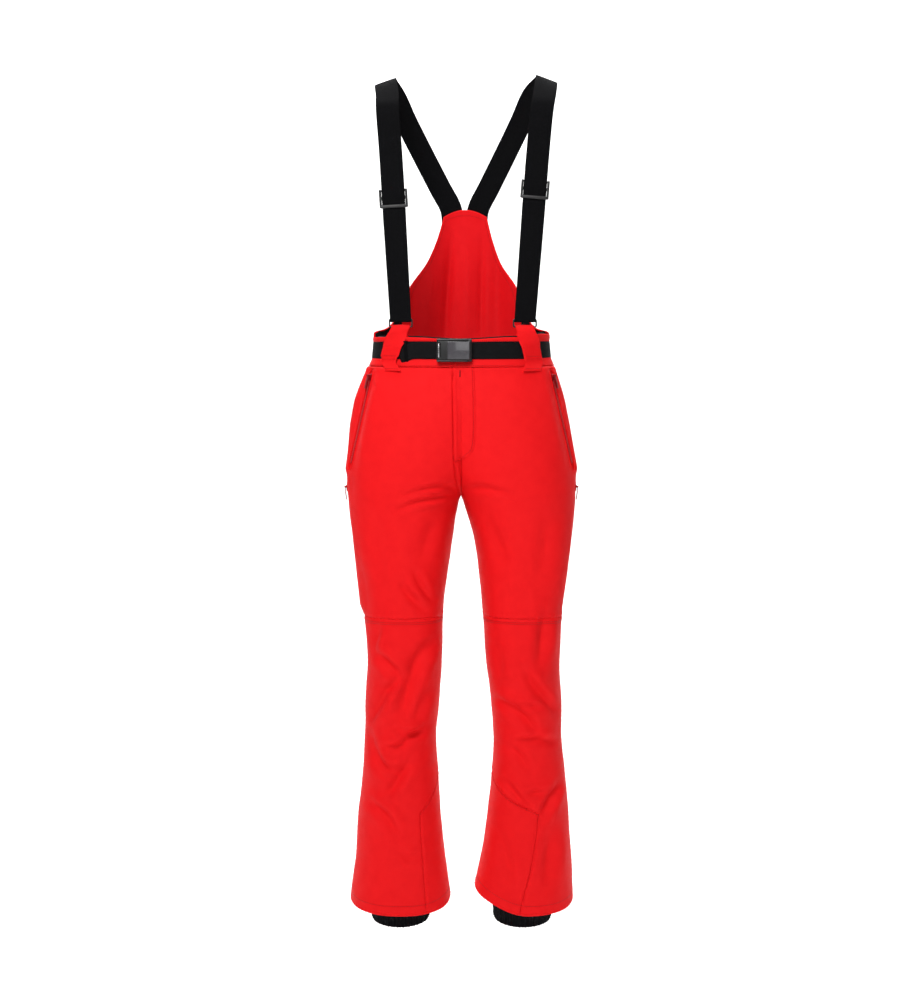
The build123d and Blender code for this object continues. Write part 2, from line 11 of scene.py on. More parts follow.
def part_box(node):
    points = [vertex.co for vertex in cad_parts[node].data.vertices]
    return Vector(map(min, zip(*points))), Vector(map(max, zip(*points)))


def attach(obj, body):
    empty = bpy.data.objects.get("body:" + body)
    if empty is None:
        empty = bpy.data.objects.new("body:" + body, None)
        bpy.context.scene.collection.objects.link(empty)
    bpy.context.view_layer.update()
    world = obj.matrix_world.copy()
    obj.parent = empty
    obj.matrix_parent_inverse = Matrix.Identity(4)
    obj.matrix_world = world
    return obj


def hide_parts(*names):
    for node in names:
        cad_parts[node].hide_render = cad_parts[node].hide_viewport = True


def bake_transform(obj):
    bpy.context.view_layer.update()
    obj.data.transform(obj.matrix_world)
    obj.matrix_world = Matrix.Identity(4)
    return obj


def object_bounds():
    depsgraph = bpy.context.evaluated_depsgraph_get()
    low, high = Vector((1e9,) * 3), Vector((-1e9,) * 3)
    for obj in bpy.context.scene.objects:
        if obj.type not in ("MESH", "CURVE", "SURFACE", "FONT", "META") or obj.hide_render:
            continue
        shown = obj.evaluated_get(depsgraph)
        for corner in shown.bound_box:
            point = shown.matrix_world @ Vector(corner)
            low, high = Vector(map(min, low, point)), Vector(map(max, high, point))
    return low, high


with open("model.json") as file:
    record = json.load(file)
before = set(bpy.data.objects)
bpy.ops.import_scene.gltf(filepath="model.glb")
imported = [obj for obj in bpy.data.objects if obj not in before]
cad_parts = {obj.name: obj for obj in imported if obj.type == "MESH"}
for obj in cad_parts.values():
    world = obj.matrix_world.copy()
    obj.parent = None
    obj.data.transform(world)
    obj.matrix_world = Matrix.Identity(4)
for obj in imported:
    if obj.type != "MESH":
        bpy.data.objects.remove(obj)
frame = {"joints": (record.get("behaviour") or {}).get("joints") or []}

CAD_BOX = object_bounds()
BODY = "garment"
MM = 0.001
SIDES = (("left", 1), ("right", -1))

# ---- Sizes shared by several pieces, in millimetres ---------------------------------------
WAIST_HALF_WIDTH = 155.5
WAIST_HALF_DEPTH = 103.0
WAIST_TILT = math.radians(6)
BAND_LOW = -27.0
BAND_HIGH = 21.0
BELT_Z = 2.2
BELT_OUT = 4.4
SQUARENESS = 2.3
HEM_SLOPE = 0.17
FLY_EDGE_X = -14.0
SHELL_CLOTH = 1.6
HEM_Z = -998.0
KNEE_Z = -478.0
GUARD_TOP_Z = -832.0
GUARD_INSEAM_Z = -765.0
ZIP_LENGTH = {"fly": 130, "pocket": 164, "vent": 211}


# ---- Materials ----------------------------------------------------------------------------
def new_material(name, color, roughness, specular=0.5, metallic=0.0, coat=0.0):
    material = bpy.data.materials.new(name)
    material.use_nodes = True
    shader = material.node_tree.nodes["Principled BSDF"]
    shader.inputs["Base Color"].default_value = (*color, 1)
    shader.inputs["Roughness"].default_value = roughness
    shader.inputs["Specular IOR Level"].default_value = specular
    shader.inputs["Metallic"].default_value = metallic
    shader.inputs["Coat Weight"].default_value = coat
    return material


class Nodes:
    """Short calls for building one material's node tree."""

    def __init__(self, material):
        self.tree = material.node_tree
        self.shader = self.tree.nodes["Principled BSDF"]

    def add(self, kind, **inputs):
        node = self.tree.nodes.new(kind)
        for name, value in inputs.items():
            self.feed(node, name, value)
        return node

    def feed(self, node, name, value):
        """Links or sets an input, given by its name or by its number after an underscore."""
        socket = node.inputs[int(name[1:])] if name[0] == "_" else node.inputs[name]
        if isinstance(value, bpy.types.NodeSocket):
            self.tree.links.new(value, socket)
        else:
            socket.default_value = value

    def uv(self, across, along):
        """The piece's own coordinates in metres, times two scales."""
        source = self.add("ShaderNodeUVMap")
        source.uv_map = "UVMap"
        mapping = self.add("ShaderNodeMapping", Vector=source.outputs[0], Scale=(across, along, 1))
        return mapping.outputs[0]

    def place(self, scale):
        source = self.add("ShaderNodeTexCoord")
        mapping = self.add("ShaderNodeMapping", Vector=source.outputs["Object"], Scale=(scale, scale, scale))
        return mapping.outputs[0]

    def wave(self, vector, direction, profile="SIN"):
        node = self.add("ShaderNodeTexWave", Vector=vector, Scale=1.0, Distortion=0.0)
        node.bands_direction = direction
        node.wave_profile = profile
        return node.outputs["Fac"]

    def noise(self, vector, detail=3.0):
        return self.add("ShaderNodeTexNoise", Vector=vector, Scale=1.0, Detail=detail).outputs["Fac"]

    def math(self, operation, a, b):
        node = self.add("ShaderNodeMath", _0=a, _1=b)
        node.operation = operation
        return node.outputs[0]

    def ramp(self, factor, low, high):
        """Scales a 0 to 1 factor to the range from low to high."""
        return self.add("ShaderNodeMapRange", Value=factor, **{"To Min": low, "To Max": high}).outputs[0]

    def mix(self, factor, first, second):
        node = self.add("ShaderNodeMix")
        node.data_type = "RGBA"
        self.feed(node, "_0", factor)
        self.feed(node, "_6", (*first, 1))
        self.feed(node, "_7", (*second, 1))
        return node.outputs[2]

    def bump(self, height, distance, strength=1.0):
        node = self.add("ShaderNodeBump", Height=height, Distance=distance, Strength=strength)
        self.feed(self.shader, "Normal", node.outputs[0])

    def color(self, value):
        self.feed(self.shader, "Base Color", value)

    def roughness(self, value):
        self.feed(self.shader, "Roughness", value)


def wave_scale(pitch):
    """The scale that gives a wave texture one band every pitch millimetres."""
    return 2 * math.pi / (pitch * MM) / 20


def shell_fabric(name, color, darker, thread_pitch=0.7):
    """Woven cloth: a fine plain weave, matte, with faint mottling."""
    material = new_material(name, color, 0.62, specular=0.06)
    nodes = Nodes(material)
    scale = wave_scale(thread_pitch)
    weave = nodes.math("MULTIPLY", *(nodes.wave(nodes.uv(scale, scale), way) for way in "XY"))
    mottle = nodes.noise(nodes.place(60), 5.0)
    grain = nodes.noise(nodes.place(900), 2.0)
    height = nodes.math("ADD", weave, nodes.math("MULTIPLY", grain, 1.2))
    nodes.bump(height, 0.00012, 0.6)
    nodes.color(nodes.mix(nodes.math("MULTIPLY", mottle, grain), color, darker))
    nodes.roughness(nodes.ramp(mottle, 0.54, 0.70))
    return material


def ribbed_elastic(name, color, raised_yarn_highlight, rib=1.7):
    """Knitted elastic: ribs across the strap and fine wales along it."""
    material = new_material(name, color, 0.8, specular=0.03)
    nodes = Nodes(material)
    ribs = nodes.wave(nodes.uv(1, wave_scale(rib)), "Y")
    wales = nodes.wave(nodes.uv(wave_scale(1.1), 1), "X")
    height = nodes.math("ADD", ribs, nodes.math("MULTIPLY", wales, 0.35))
    nodes.bump(height, 0.0003, 0.8)
    fuzz = nodes.noise(nodes.place(300), 3.0)
    # painted highlight: the raised ribs are lighter in colour, varied at random by the fuzz noise
    nodes.color(nodes.mix(nodes.math("MULTIPLY", height, fuzz), color, raised_yarn_highlight))
    nodes.roughness(nodes.ramp(fuzz, 0.75, 0.95))
    return material


def twill_webbing(name, color, raised_yarn_highlight, pitch=1.4):
    """Flat webbing with a herringbone of raised yarns."""
    material = new_material(name, color, 0.7, specular=0.06)
    nodes = Nodes(material)
    scale = wave_scale(pitch)
    yarns = nodes.wave(nodes.uv(scale, scale), "DIAGONAL", "TRI")
    cross = nodes.wave(nodes.uv(-scale, scale), "DIAGONAL", "TRI")
    height = nodes.math("MAXIMUM", yarns, cross)
    nodes.bump(height, 0.00025, 0.8)
    fuzz = nodes.noise(nodes.place(400), 3.0)
    # painted highlight: the raised yarns are lighter in colour, varied at random by the fuzz noise
    nodes.color(nodes.mix(nodes.math("MULTIPLY", height, fuzz), color, raised_yarn_highlight))
    nodes.roughness(nodes.ramp(fuzz, 0.6, 0.8))
    return material


def moulded_plastic(name, color, roughness, coat=0.0):
    """Moulded or painted skin with faint grain and uneven gloss."""
    material = new_material(name, color, roughness, coat=coat)
    nodes = Nodes(material)
    skin = nodes.noise(nodes.place(1600), 2.0)
    wear = nodes.noise(nodes.place(90), 4.0)
    nodes.bump(skin, 0.00004, 0.5)
    nodes.roughness(nodes.ramp(wear, roughness * 0.85, roughness * 1.25))
    nodes.color(nodes.mix(wear, color, tuple(min(1, c * 1.35 + 0.002) for c in color)))
    return material


def brushed_metal(name, color, roughness):
    material = new_material(name, color, roughness, metallic=1.0)
    nodes = Nodes(material)
    brushed = nodes.noise(nodes.place(700), 6.0)
    nodes.roughness(nodes.ramp(brushed, roughness * 0.7, roughness * 1.5))
    nodes.bump(brushed, 0.00002, 0.4)
    return material


def thread_material(name, color):
    material = new_material(name, color, 0.45, specular=0.15)
    nodes = Nodes(material)
    twist = nodes.noise(nodes.place(2500), 2.0)
    nodes.bump(twist, 0.00006, 0.6)
    nodes.color(nodes.mix(twist, color, tuple(c * 0.6 for c in color)))
    return material


RED = (0.82, 0.010, 0.012)
DEEP_RED = (0.66, 0.003, 0.007)
BLACK = (0.0022, 0.0022, 0.0026)
red_cloth = shell_fabric("softshell_red", RED, DEEP_RED)
bib_cloth = shell_fabric("bib_lining_red", (0.78, 0.006, 0.010), (0.60, 0.003, 0.006), 1.1)
black_lining = shell_fabric("tricot_black", (0.005, 0.005, 0.006), BLACK, 1.2)
gaiter_cloth = shell_fabric("gaiter_nylon", (0.004, 0.004, 0.005), BLACK, 0.5)
pocket_cloth = shell_fabric("pocket_tricot", (0.5, 0.008, 0.012), (0.35, 0.004, 0.006), 1.0)
mesh_cloth = shell_fabric("vent_mesh_knit", (0.05, 0.006, 0.008), (0.02, 0.003, 0.004), 2.2)
elastic = ribbed_elastic("suspender_elastic", BLACK, (0.008, 0.008, 0.009))
webbing = twill_webbing("belt_webbing", BLACK, (0.012, 0.012, 0.013))
tape_cloth = twill_webbing("zip_tape", (0.55, 0.005, 0.009), (0.66, 0.008, 0.012), 0.8)
# painted shade: the vent zip's tape is a dark copy of the zip tape, standing in for the shadow along the
# recessed vent strip
vent_tape_painted_shade = twill_webbing("vent_zip_tape", (0.16, 0.003, 0.008), (0.22, 0.005, 0.011), 0.8)
black_plastic = moulded_plastic("moulded_black", (0.003, 0.003, 0.0035), 0.45)
gloss_plate = moulded_plastic("gloss_plate", (0.045, 0.042, 0.048), 0.2, coat=0.6)
steel = brushed_metal("pin_steel", (0.72, 0.72, 0.74), 0.25)
zip_metal = brushed_metal("slider_red", (0.34, 0.010, 0.014), 0.42)
ring_metal = moulded_plastic("ring_black", (0.004, 0.004, 0.004), 0.4)
coil = moulded_plastic("zip_coil", (0.50, 0.006, 0.010), 0.45)
# painted shade: the vent zip's coil is a dark copy of the zip coil, for the same shadow along the vent
vent_coil_painted_shade = moulded_plastic("vent_zip_coil", (0.20, 0.003, 0.008), 0.45)
thread = thread_material("thread_red", (0.30, 0.001, 0.004))


# ---- Mesh building ------------------------------------------------------------------------
def make_object(name, vertices, faces, material, uvs=None, smooth=True):
    """A mesh object from points in millimetres. uvs holds one pair per vertex, in metres."""
    mesh = bpy.data.meshes.new(name)
    mesh.from_pydata([tuple(v) for v in np.asarray(vertices, float) * MM], [], faces)
    mesh.update()
    if uvs is not None:
        layer = mesh.uv_layers.new(name="UVMap")
        loops = np.zeros(len(mesh.loops), np.int32)
        mesh.loops.foreach_get("vertex_index", loops)
        layer.data.foreach_set("uv", np.asarray(uvs, np.float32)[loops].ravel())
    mesh.materials.append(material)
    mesh.polygons.foreach_set("use_smooth", [smooth] * len(mesh.polygons))
    obj = bpy.data.objects.new(name, mesh)
    bpy.context.scene.collection.objects.link(obj)
    return obj


def grid_faces(rows, columns, wrap_rows=False, wrap_columns=False, start=0):
    faces = []
    for r in range(rows if wrap_rows else rows - 1):
        for c in range(columns if wrap_columns else columns - 1):
            a = start + r * columns + c
            b = start + r * columns + (c + 1) % columns
            d = start + ((r + 1) % rows) * columns + c
            e = start + ((r + 1) % rows) * columns + (c + 1) % columns
            faces.append((a, b, e, d))
    return faces


def unit(vectors):
    return vectors / np.maximum(np.linalg.norm(vectors, axis=-1, keepdims=True), 1e-9)


def run_of(points):
    """Distance run along the first axis of a line or grid of points."""
    steps = np.linalg.norm(np.diff(points, axis=0), axis=-1)
    return np.concatenate([np.zeros_like(steps[:1]), np.cumsum(steps, axis=0)])


def row_run(points):
    return run_of(points.swapaxes(0, 1)).T


def placed(local, matrix):
    """Points given in a matrix's own frame."""
    return local @ matrix[:3, :3].T + matrix[:3, 3]


def smooth_step(value):
    value = np.clip(value, 0, 1)
    return value * value * (3 - 2 * value)


def bell(value):
    return np.exp(-(value**2))


def grid_normals(points):
    """Outward normals of a cloth grid that curves round the wearer."""
    normals = unit(np.cross(np.gradient(points, axis=0), np.gradient(points, axis=1)))
    if ((points - points.mean(axis=(0, 1))) * normals).sum() < 0:
        normals = -normals
    return normals


def sheet_object(name, points, material, thickness, keep=None):
    """A cloth grid, rows by columns by xyz, with a thickness on its inner side.

    keep marks the cells that belong to the piece, for a piece cut from a larger grid.
    """
    rows, columns = points.shape[:2]
    faces = grid_faces(rows, columns)
    if keep is not None:
        faces = [face for face, kept in zip(faces, keep.ravel()) if kept]
    winding = np.cross(np.gradient(points, axis=0), np.gradient(points, axis=1))
    if (winding * grid_normals(points)).sum() > 0:
        faces = [face[::-1] for face in faces]
    uvs = np.stack([row_run(points), run_of(points)], axis=2).reshape(-1, 2) * MM
    used = np.unique(np.array(faces))
    number = np.zeros(rows * columns, int)
    number[used] = np.arange(len(used))
    faces = [tuple(int(number[i]) for i in face) for face in faces]
    obj = make_object(name, points.reshape(-1, 3)[used], faces, material, uvs[used])
    solid = obj.modifiers.new("thickness", "SOLIDIFY")
    solid.thickness = thickness * MM
    solid.offset = -1
    return obj


def flat_cut(obj):
    """The width, length and area of the flat piece a cloth grid was cut from, in metres."""
    mesh = obj.data
    area = sum(face.area for face in mesh.polygons)
    uv = np.zeros(2 * len(mesh.loops), np.float32)
    mesh.uv_layers[0].data.foreach_get("uv", uv)
    size = np.ptp(uv.reshape(-1, 2), axis=0)
    shrink = max(1.0, (area / (size[0] * size[1])) ** 0.5)
    return (float(size[0] * shrink), float(size[1] * shrink)), float(area)


def tangents(points, closed):
    if closed:
        return unit(np.roll(points, -1, axis=0) - np.roll(points, 1, axis=0))
    return unit(np.gradient(points, axis=0))


def skin_faces(rings, count, closed):
    """Faces over a row of rings of points. An open row gets an end face on each end."""
    faces = grid_faces(rings, count, wrap_rows=closed, wrap_columns=True)
    if not closed:
        faces.append(tuple(range(count))[::-1])
        faces.append(tuple((rings - 1) * count + c for c in range(count)))
    return faces


def ribbon(
    name, points, across, width, thickness, material, closed=False, columns=16, roundness=5.0, lift=0.0,
):
    """A flat strap along points. across is each point's width direction; lift raises its middle."""
    points = np.asarray(points, float)
    across = unit(np.broadcast_to(np.asarray(across, float), points.shape))
    run = tangents(points, closed)
    up = unit(np.cross(run, across))
    width = np.broadcast_to(np.asarray(width, float), (len(points),))
    share = np.linspace(-1, 1, columns)
    half = thickness / 2 * (1 - np.abs(share) ** roundness) ** 0.5
    half = np.maximum(half, thickness * 0.12)
    crown = lift * (1 - share**2)
    ring_share = np.concatenate([share, share[::-1]])
    ring_height = np.concatenate([half + crown, (crown - half)[::-1]])
    vertices = (
        points[:, None, :]
        + across[:, None, :] * (ring_share[None, :, None] * width[:, None, None] / 2)
        + up[:, None, :] * ring_height[None, :, None]
    )
    rows, count = vertices.shape[:2]
    uvs = np.zeros((rows, count, 2))
    uvs[..., 0] = ring_share[None, :] * width[:, None] / 2 * MM
    uvs[..., 1] = run_of(points)[:, None] * MM
    faces = skin_faces(rows, count, closed)
    return make_object(name, vertices.reshape(-1, 3), faces, material, uvs.reshape(-1, 2))


def tube(name, points, radius, material, closed=False, sides=10, squash=1.0, facing=(0, 1, 0)):
    """A round or oval wire along points."""
    points = np.asarray(points, float)
    run = tangents(points, closed)
    side = unit(np.cross(run, np.broadcast_to(np.asarray(facing, float), points.shape)))
    up = np.cross(side, run)
    turn = np.linspace(0, 2 * np.pi, sides, endpoint=False)
    ring = side[:, None] * np.cos(turn)[None, :, None] * radius
    ring = ring + up[:, None] * np.sin(turn)[None, :, None] * radius * squash
    vertices = points[:, None] + ring
    return make_object(name, vertices.reshape(-1, 3), skin_faces(len(points), sides, closed), material)


def rounded_box(low, high, radius, segments=3):
    """Vertices and faces of a box with rounded edges, in millimetres."""
    shape = bmesh.new()
    bmesh.ops.create_cube(shape, size=1.0)
    low, high = Vector(low), Vector(high)
    for vertex in shape.verts:
        vertex.co = Vector((low[i] + (vertex.co[i] + 0.5) * (high[i] - low[i]) for i in range(3)))
    bmesh.ops.bevel(
        shape, geom=shape.edges[:], offset=radius, segments=segments, profile=0.5, affect="EDGES",
        clamp_overlap=True,
    )
    vertices = np.array([v.co[:] for v in shape.verts])
    faces = [tuple(v.index for v in f.verts) for f in shape.faces]
    shape.free()
    return vertices, faces


def joined(name, shapes, material, matrix=None):
    """One object from several (vertices, faces) shapes, placed by a 4 by 4 matrix."""
    all_faces, start = [], 0
    for vertices, faces in shapes:
        all_faces += [tuple(i + start for i in face) for face in faces]
        start += len(vertices)
    vertices = np.concatenate([vertices for vertices, _ in shapes])
    if matrix is not None:
        vertices = placed(vertices, matrix)
    return make_object(name, vertices, all_faces, material)


def cylinder(start, end, radius, sides=20):
    """Vertices and faces of a round bar with bevelled ends, in millimetres."""
    start, end = np.asarray(start, float), np.asarray(end, float)
    axis = unit(end - start)
    helper = np.array([0, 0, 1.0]) if abs(axis[2]) < 0.9 else np.array([1.0, 0, 0])
    side = unit(np.cross(axis, helper))
    up = np.cross(axis, side)
    bevel = min(radius * 0.25, 0.4)
    length = np.linalg.norm(end - start)
    rings = ((0, radius - bevel), (bevel, radius), (length - bevel, radius), (length, radius - bevel))
    turn = np.linspace(0, 2 * np.pi, sides, endpoint=False)
    circle = side * np.cos(turn)[:, None] + up * np.sin(turn)[:, None]
    vertices = np.concatenate([start + axis * d + circle * r for d, r in rings])
    faces = grid_faces(len(rings), sides, wrap_columns=True)
    faces = [face[::-1] for face in faces]
    faces += [tuple(range(sides)), tuple(3 * sides + c for c in range(sides))[::-1]]
    return vertices, faces


def finish_piece(obj, nodes, body=BODY, held=None):
    """Gives a piece its body and hides its CAD nodes. For cloth, held is given and the flat cut is worked
    out, though not used further.
    """
    if body:
        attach(obj, body)
    if nodes:
        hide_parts(*nodes)
    if held:
        flat, area = flat_cut(obj)


def at_distance(points, run, distance):
    return np.array([np.interp(distance, run, points[:, i]) for i in range(3)])


def stitches(name, lines, length=2.6, gap=1.2, radius=0.28):
    """Topstitching: short rounded threads along each line of (points, normals)."""
    shapes = []
    template, faces = cylinder((0, 0, 0), (0, 0, 1), 1.0, sides=6)
    for points, normals in lines:
        points, normals = np.asarray(points, float), unit(np.asarray(normals, float))
        run = run_of(points)
        for distance in np.arange(0, run[-1] - length, length + gap):
            start = at_distance(points, run, distance)
            whole = at_distance(points, run, distance + length) - start
            axis = unit(whole)
            side = unit(np.cross(axis, at_distance(normals, run, distance)))
            up = np.cross(side, axis)
            place = template[:, :1] * side * radius + template[:, 1:2] * up * radius
            shapes.append((place + template[:, 2:3] * whole + start + up * radius * 0.3, faces))
    finish_piece(joined(name, shapes, thread), ())


# ---- The trouser form ---------------------------------------------------------------------
# Rows of height, section centre, outer edge, centre depth and half depth. Each leg has its own,
# as the trousers hang a little unevenly.
LEG_LEFT = (
    (40, 0, 156, 0, 99),
    (-27, 8, 166, 0, 105),
    (-52, 20, 175.5, 1, 110),
    (-89, 36, 187, 2, 116),
    (-125, 52, 194, 4, 121),
    (-162, 66, 199.5, 6, 124),
    (-198, 80, 205, 8, 126),
    (-235, 94, 207.5, 8, 124),
    (-267, 105.4, 209.5, 6, 119),
    (-289, 108.5, 208.4, 4, 113),
    (-344, 114.7, 204.8, 0, 101),
    (-416, 113.8, 194, -6, 91),
    (-453, 112, 186.5, -9, 86),
    (-489, 111, 181, -12, 82),
    (-562, 111, 177.5, -9, 78),
    (-635, 118, 181, 4, 77.5),
    (-708, 121, 183, 17, 78),
    (-782, 123, 190.5, 25, 80),
    (-856, 122, 197, 32, 84),
    (-930, 118.5, 201.5, 37, 89),
    (-982, 114, 204, 41, 93.5),
    (-1040, 112, 206, 44, 97),
)
LEG_RIGHT = (
    (40, 0, 157, 0, 99),
    (-27, 8, 168.5, 0, 105),
    (-52, 20, 180, 1, 110),
    (-89, 36, 194, 2, 116),
    (-125, 52, 201, 4, 121),
    (-162, 66, 205, 6, 124),
    (-198, 79, 206.6, 8, 126),
    (-235, 93, 206, 8, 124),
    (-267, 105, 206.6, 6, 119),
    (-289, 107.4, 206.6, 4, 113),
    (-344, 108.3, 199.3, 0, 101),
    (-416, 105, 182, -6, 91),
    (-453, 104.7, 177.5, -9, 86),
    (-489, 103.7, 173.8, -12, 82),
    (-562, 102.7, 170, -9, 78),
    (-635, 107.4, 173.8, 4, 77.5),
    (-708, 111, 175.6, 17, 78),
    (-782, 112, 181.5, 25, 80),
    (-856, 113.5, 189.5, 32, 84),
    (-930, 112, 195, 37, 89),
    (-982, 112, 201.5, 41, 93.5),
    (-1040, 111, 204, 44, 97),
)


def hermite(t, step, first, second, first_slope, second_slope):
    """A cubic between two values with given slopes, t running from 0 to 1 over step."""
    return (
        (2 * t**3 - 3 * t**2 + 1) * first
        + (t**3 - 2 * t**2 + t) * step * first_slope
        + (-2 * t**3 + 3 * t**2) * second
        + (t**3 - t**2) * step * second_slope
    )


def smooth_rows(rows, z):
    """Reads a table by height along a smooth curve."""
    table = np.array(rows, float)[::-1]
    heights, values = table[:, 0], table[:, 1:]
    slopes = np.gradient(values, heights, axis=0)
    index = np.clip(np.searchsorted(heights, z) - 1, 0, len(heights) - 2)
    step = heights[index + 1] - heights[index]
    t = np.clip((z - heights[index]) / step, 0, 1)[..., None]
    return hermite(t, step[..., None], values[index], values[index + 1], slopes[index], slopes[index + 1])


def signed_power(value, power):
    return np.sign(value) * np.abs(value) ** power


def leg_surface(side, share, z, back):
    """Points on the bare form. share runs from the side seam, 0, to the centre seam or inseam, 1."""
    rows = LEG_LEFT if side > 0 else LEG_RIGHT
    centre_x, outer_x, centre_y, half_depth = np.moveaxis(smooth_rows(rows, z), -1, 0)
    half_width = outer_x - centre_x
    reach = np.clip(centre_x / half_width, 0, 1) ** (SQUARENESS / 2)
    last = np.arccos(-reach)
    turn = share * last
    x = centre_x + half_width * signed_power(np.cos(turn), 2 / SQUARENESS)
    y = half_depth * np.abs(np.sin(turn)) ** (2 / SQUARENESS)
    y = centre_y + (y if back else -y)
    return np.stack([side * x, y, z], axis=-1)


# ---- Folds: each is a line on the cloth, seen from the front or from behind ---------------
# (points as x and z, depth of the fold, half width of the fold, height of the roll above it)
FRONT_FOLDS = (
    (((-3, -251), (-38, -249), (-70, -255), (-105, -266)), 3.2, 6, 1.6),
    (((-10, -259), (-50, -268), (-84, -277), (-112, -290)), 3.0, 6, 1.6),
    (((4, -252), (36, -250), (66, -256), (92, -266)), 2.4, 7, 1.2),
    (((-105, -420), (-90, -440), (-66, -466)), 3.4, 8, 2.0),
    (((-82, -396), (-72, -420), (-54, -450)), 3.0, 7, 1.8),
    (((-144, -492), (-152, -515), (-158, -545)), 3.0, 9, 2.4),
    (((-148, -543), (-128, -562), (-108, -581)), 5.0, 9, 3.0),
    (((-108, -581), (-120, -596), (-136, -608)), 4.0, 8, 2.0),
    (((-127, -603), (-145, -632), (-166, -668)), 4.5, 9, 3.0),
    (((-46, -520), (-74, -549), (-94, -598), (-108, -660)), 6.0, 13, 3.0),
    (((-122, -676), (-98, -686), (-68, -688)), 3.2, 8, 2.0),
    (((-142, -714), (-114, -711), (-82, -688), (-62, -676)), 4.0, 8, 2.4),
    (((-166, -690), (-150, -736), (-132, -752), (-108, -753)), 5.0, 10, 2.6),
    (((-90, -738), (-112, -768), (-134, -802)), 4.5, 9, 2.4),
    (((-166, -815), (-146, -826), (-130, -842), (-116, -874)), 4.0, 9, 2.6),
    (((-110, -900), (-92, -913), (-74, -908)), 2.4, 8, 1.4),
    (((-60, -610), (-74, -640), (-82, -668)), 2.6, 10, 1.4),
    (((148, -474), (144, -516), (138, -562)), 4.5, 12, 2.6),
    (((112, -572), (126, -598), (150, -626), (172, -650)), 4.6, 9, 2.8),
    (((58, -628), (92, -642), (116, -660), (134, -686)), 4.6, 9, 2.8),
    (((100, -634), (120, -636), (142, -638)), 2.4, 6, 1.4),
    (((92, -706), (112, -700), (138, -699), (168, -705)), 4.0, 8, 2.4),
    (((82, -714), (100, -724), (122, -754)), 3.6, 9, 2.0),
    (((76, -776), (98, -800), (122, -828)), 4.0, 9, 2.4),
    (((110, -798), (132, -795), (154, -794)), 3.0, 7, 1.6),
    (((180, -780), (160, -806), (138, -844)), 4.6, 9, 2.6),
    (((164, -862), (156, -912), (152, -962)), 4.0, 14, 2.4),
    (((70, -880), (82, -920), (84, -960)), 2.6, 12, 1.6),
    (((-166, -46), (-162, -58), (-155, -72)), 2.4, 4, 1.2),
    (((150, -300), (146, -360), (136, -430)), 2.2, 16, 1.2),
    (((-150, -310), (-144, -370), (-138, -440)), 2.0, 16, 1.2),
    (((-46, -300), (-60, -340), (-70, -380)), 2.2, 13, 1.2),
    (((44, -300), (62, -344), (74, -390)), 2.4, 13, 1.2),
    (((60, -520), (66, -560), (62, -600)), 2.4, 12, 1.4),
)
# Narrow grooves where panels meet in front: the flap's shadow and the crotch seam under it.
FRONT_FOLDS += (
    (((-15, -34), (-14.5, -80), (-13.5, -140), (-12.5, -206)), 1.8, 2.0, 0.4),
    (((-12, -196), (-10, -218), (-7, -240), (-2, -262)), 2.2, 2.6, 0.8),
)
FOLD_STRENGTH = 1.8
BACK_FOLDS = (
    (((8, -262), (48, -276), (96, -282), (148, -272)), 5.0, 11, 3.0),
    (((-8, -262), (-50, -278), (-98, -284), (-150, -272)), 5.0, 11, 3.0),
    (((20, -296), (60, -306), (104, -304)), 3.4, 9, 2.0),
    (((-20, -296), (-60, -308), (-106, -304)), 3.4, 9, 2.0),
    (((48, -440), (90, -458), (140, -452), (170, -440)), 4.4, 9, 2.6),
    (((-48, -444), (-92, -460), (-142, -452), (-168, -438)), 4.4, 9, 2.6),
    (((44, -486), (96, -478), (150, -492)), 5.0, 10, 3.0),
    (((-44, -484), (-98, -480), (-148, -494)), 5.0, 10, 3.0),
    (((50, -520), (94, -532), (162, -520)), 4.6, 10, 2.6),
    (((-48, -522), (-96, -532), (-156, -518)), 4.6, 10, 2.6),
    (((66, -566), (106, -572), (150, -560)), 3.6, 9, 2.0),
    (((-60, -568), (-100, -574), (-146, -562)), 3.6, 9, 2.0),
    (((72, -660), (116, -690), (168, -684)), 4.0, 11, 2.4),
    (((-66, -664), (-110, -694), (-160, -688)), 4.0, 11, 2.4),
    (((80, -740), (130, -752), (172, -738)), 4.2, 10, 2.4),
    (((-76, -744), (-126, -756), (-166, -742)), 4.2, 10, 2.4),
    (((76, -812), (108, -836), (160, -840)), 3.8, 12, 2.2),
    (((-70, -818), (-104, -842), (-154, -846)), 3.8, 12, 2.2),
    (((136, -880), (140, -930), (132, -970)), 3.0, 15, 2.0),
    (((-130, -884), (-136, -932), (-130, -972)), 3.0, 15, 2.0),
    (((56, -130), (84, -170), (100, -220)), 2.6, 18, 1.6),
    (((-56, -130), (-86, -172), (-102, -222)), 2.6, 18, 1.6),
)


def smooth_line(points, count=28):
    """A smooth line through a few points."""
    points = np.array(points, float)
    steps = np.arange(len(points), dtype=float)
    slopes = np.gradient(points, steps, axis=0)
    t = np.linspace(0, len(points) - 1, count)
    index = np.minimum(t.astype(int), len(points) - 2)
    share = (t - index)[:, None]
    return hermite(share, 1.0, points[index], points[index + 1], slopes[index], slopes[index + 1])


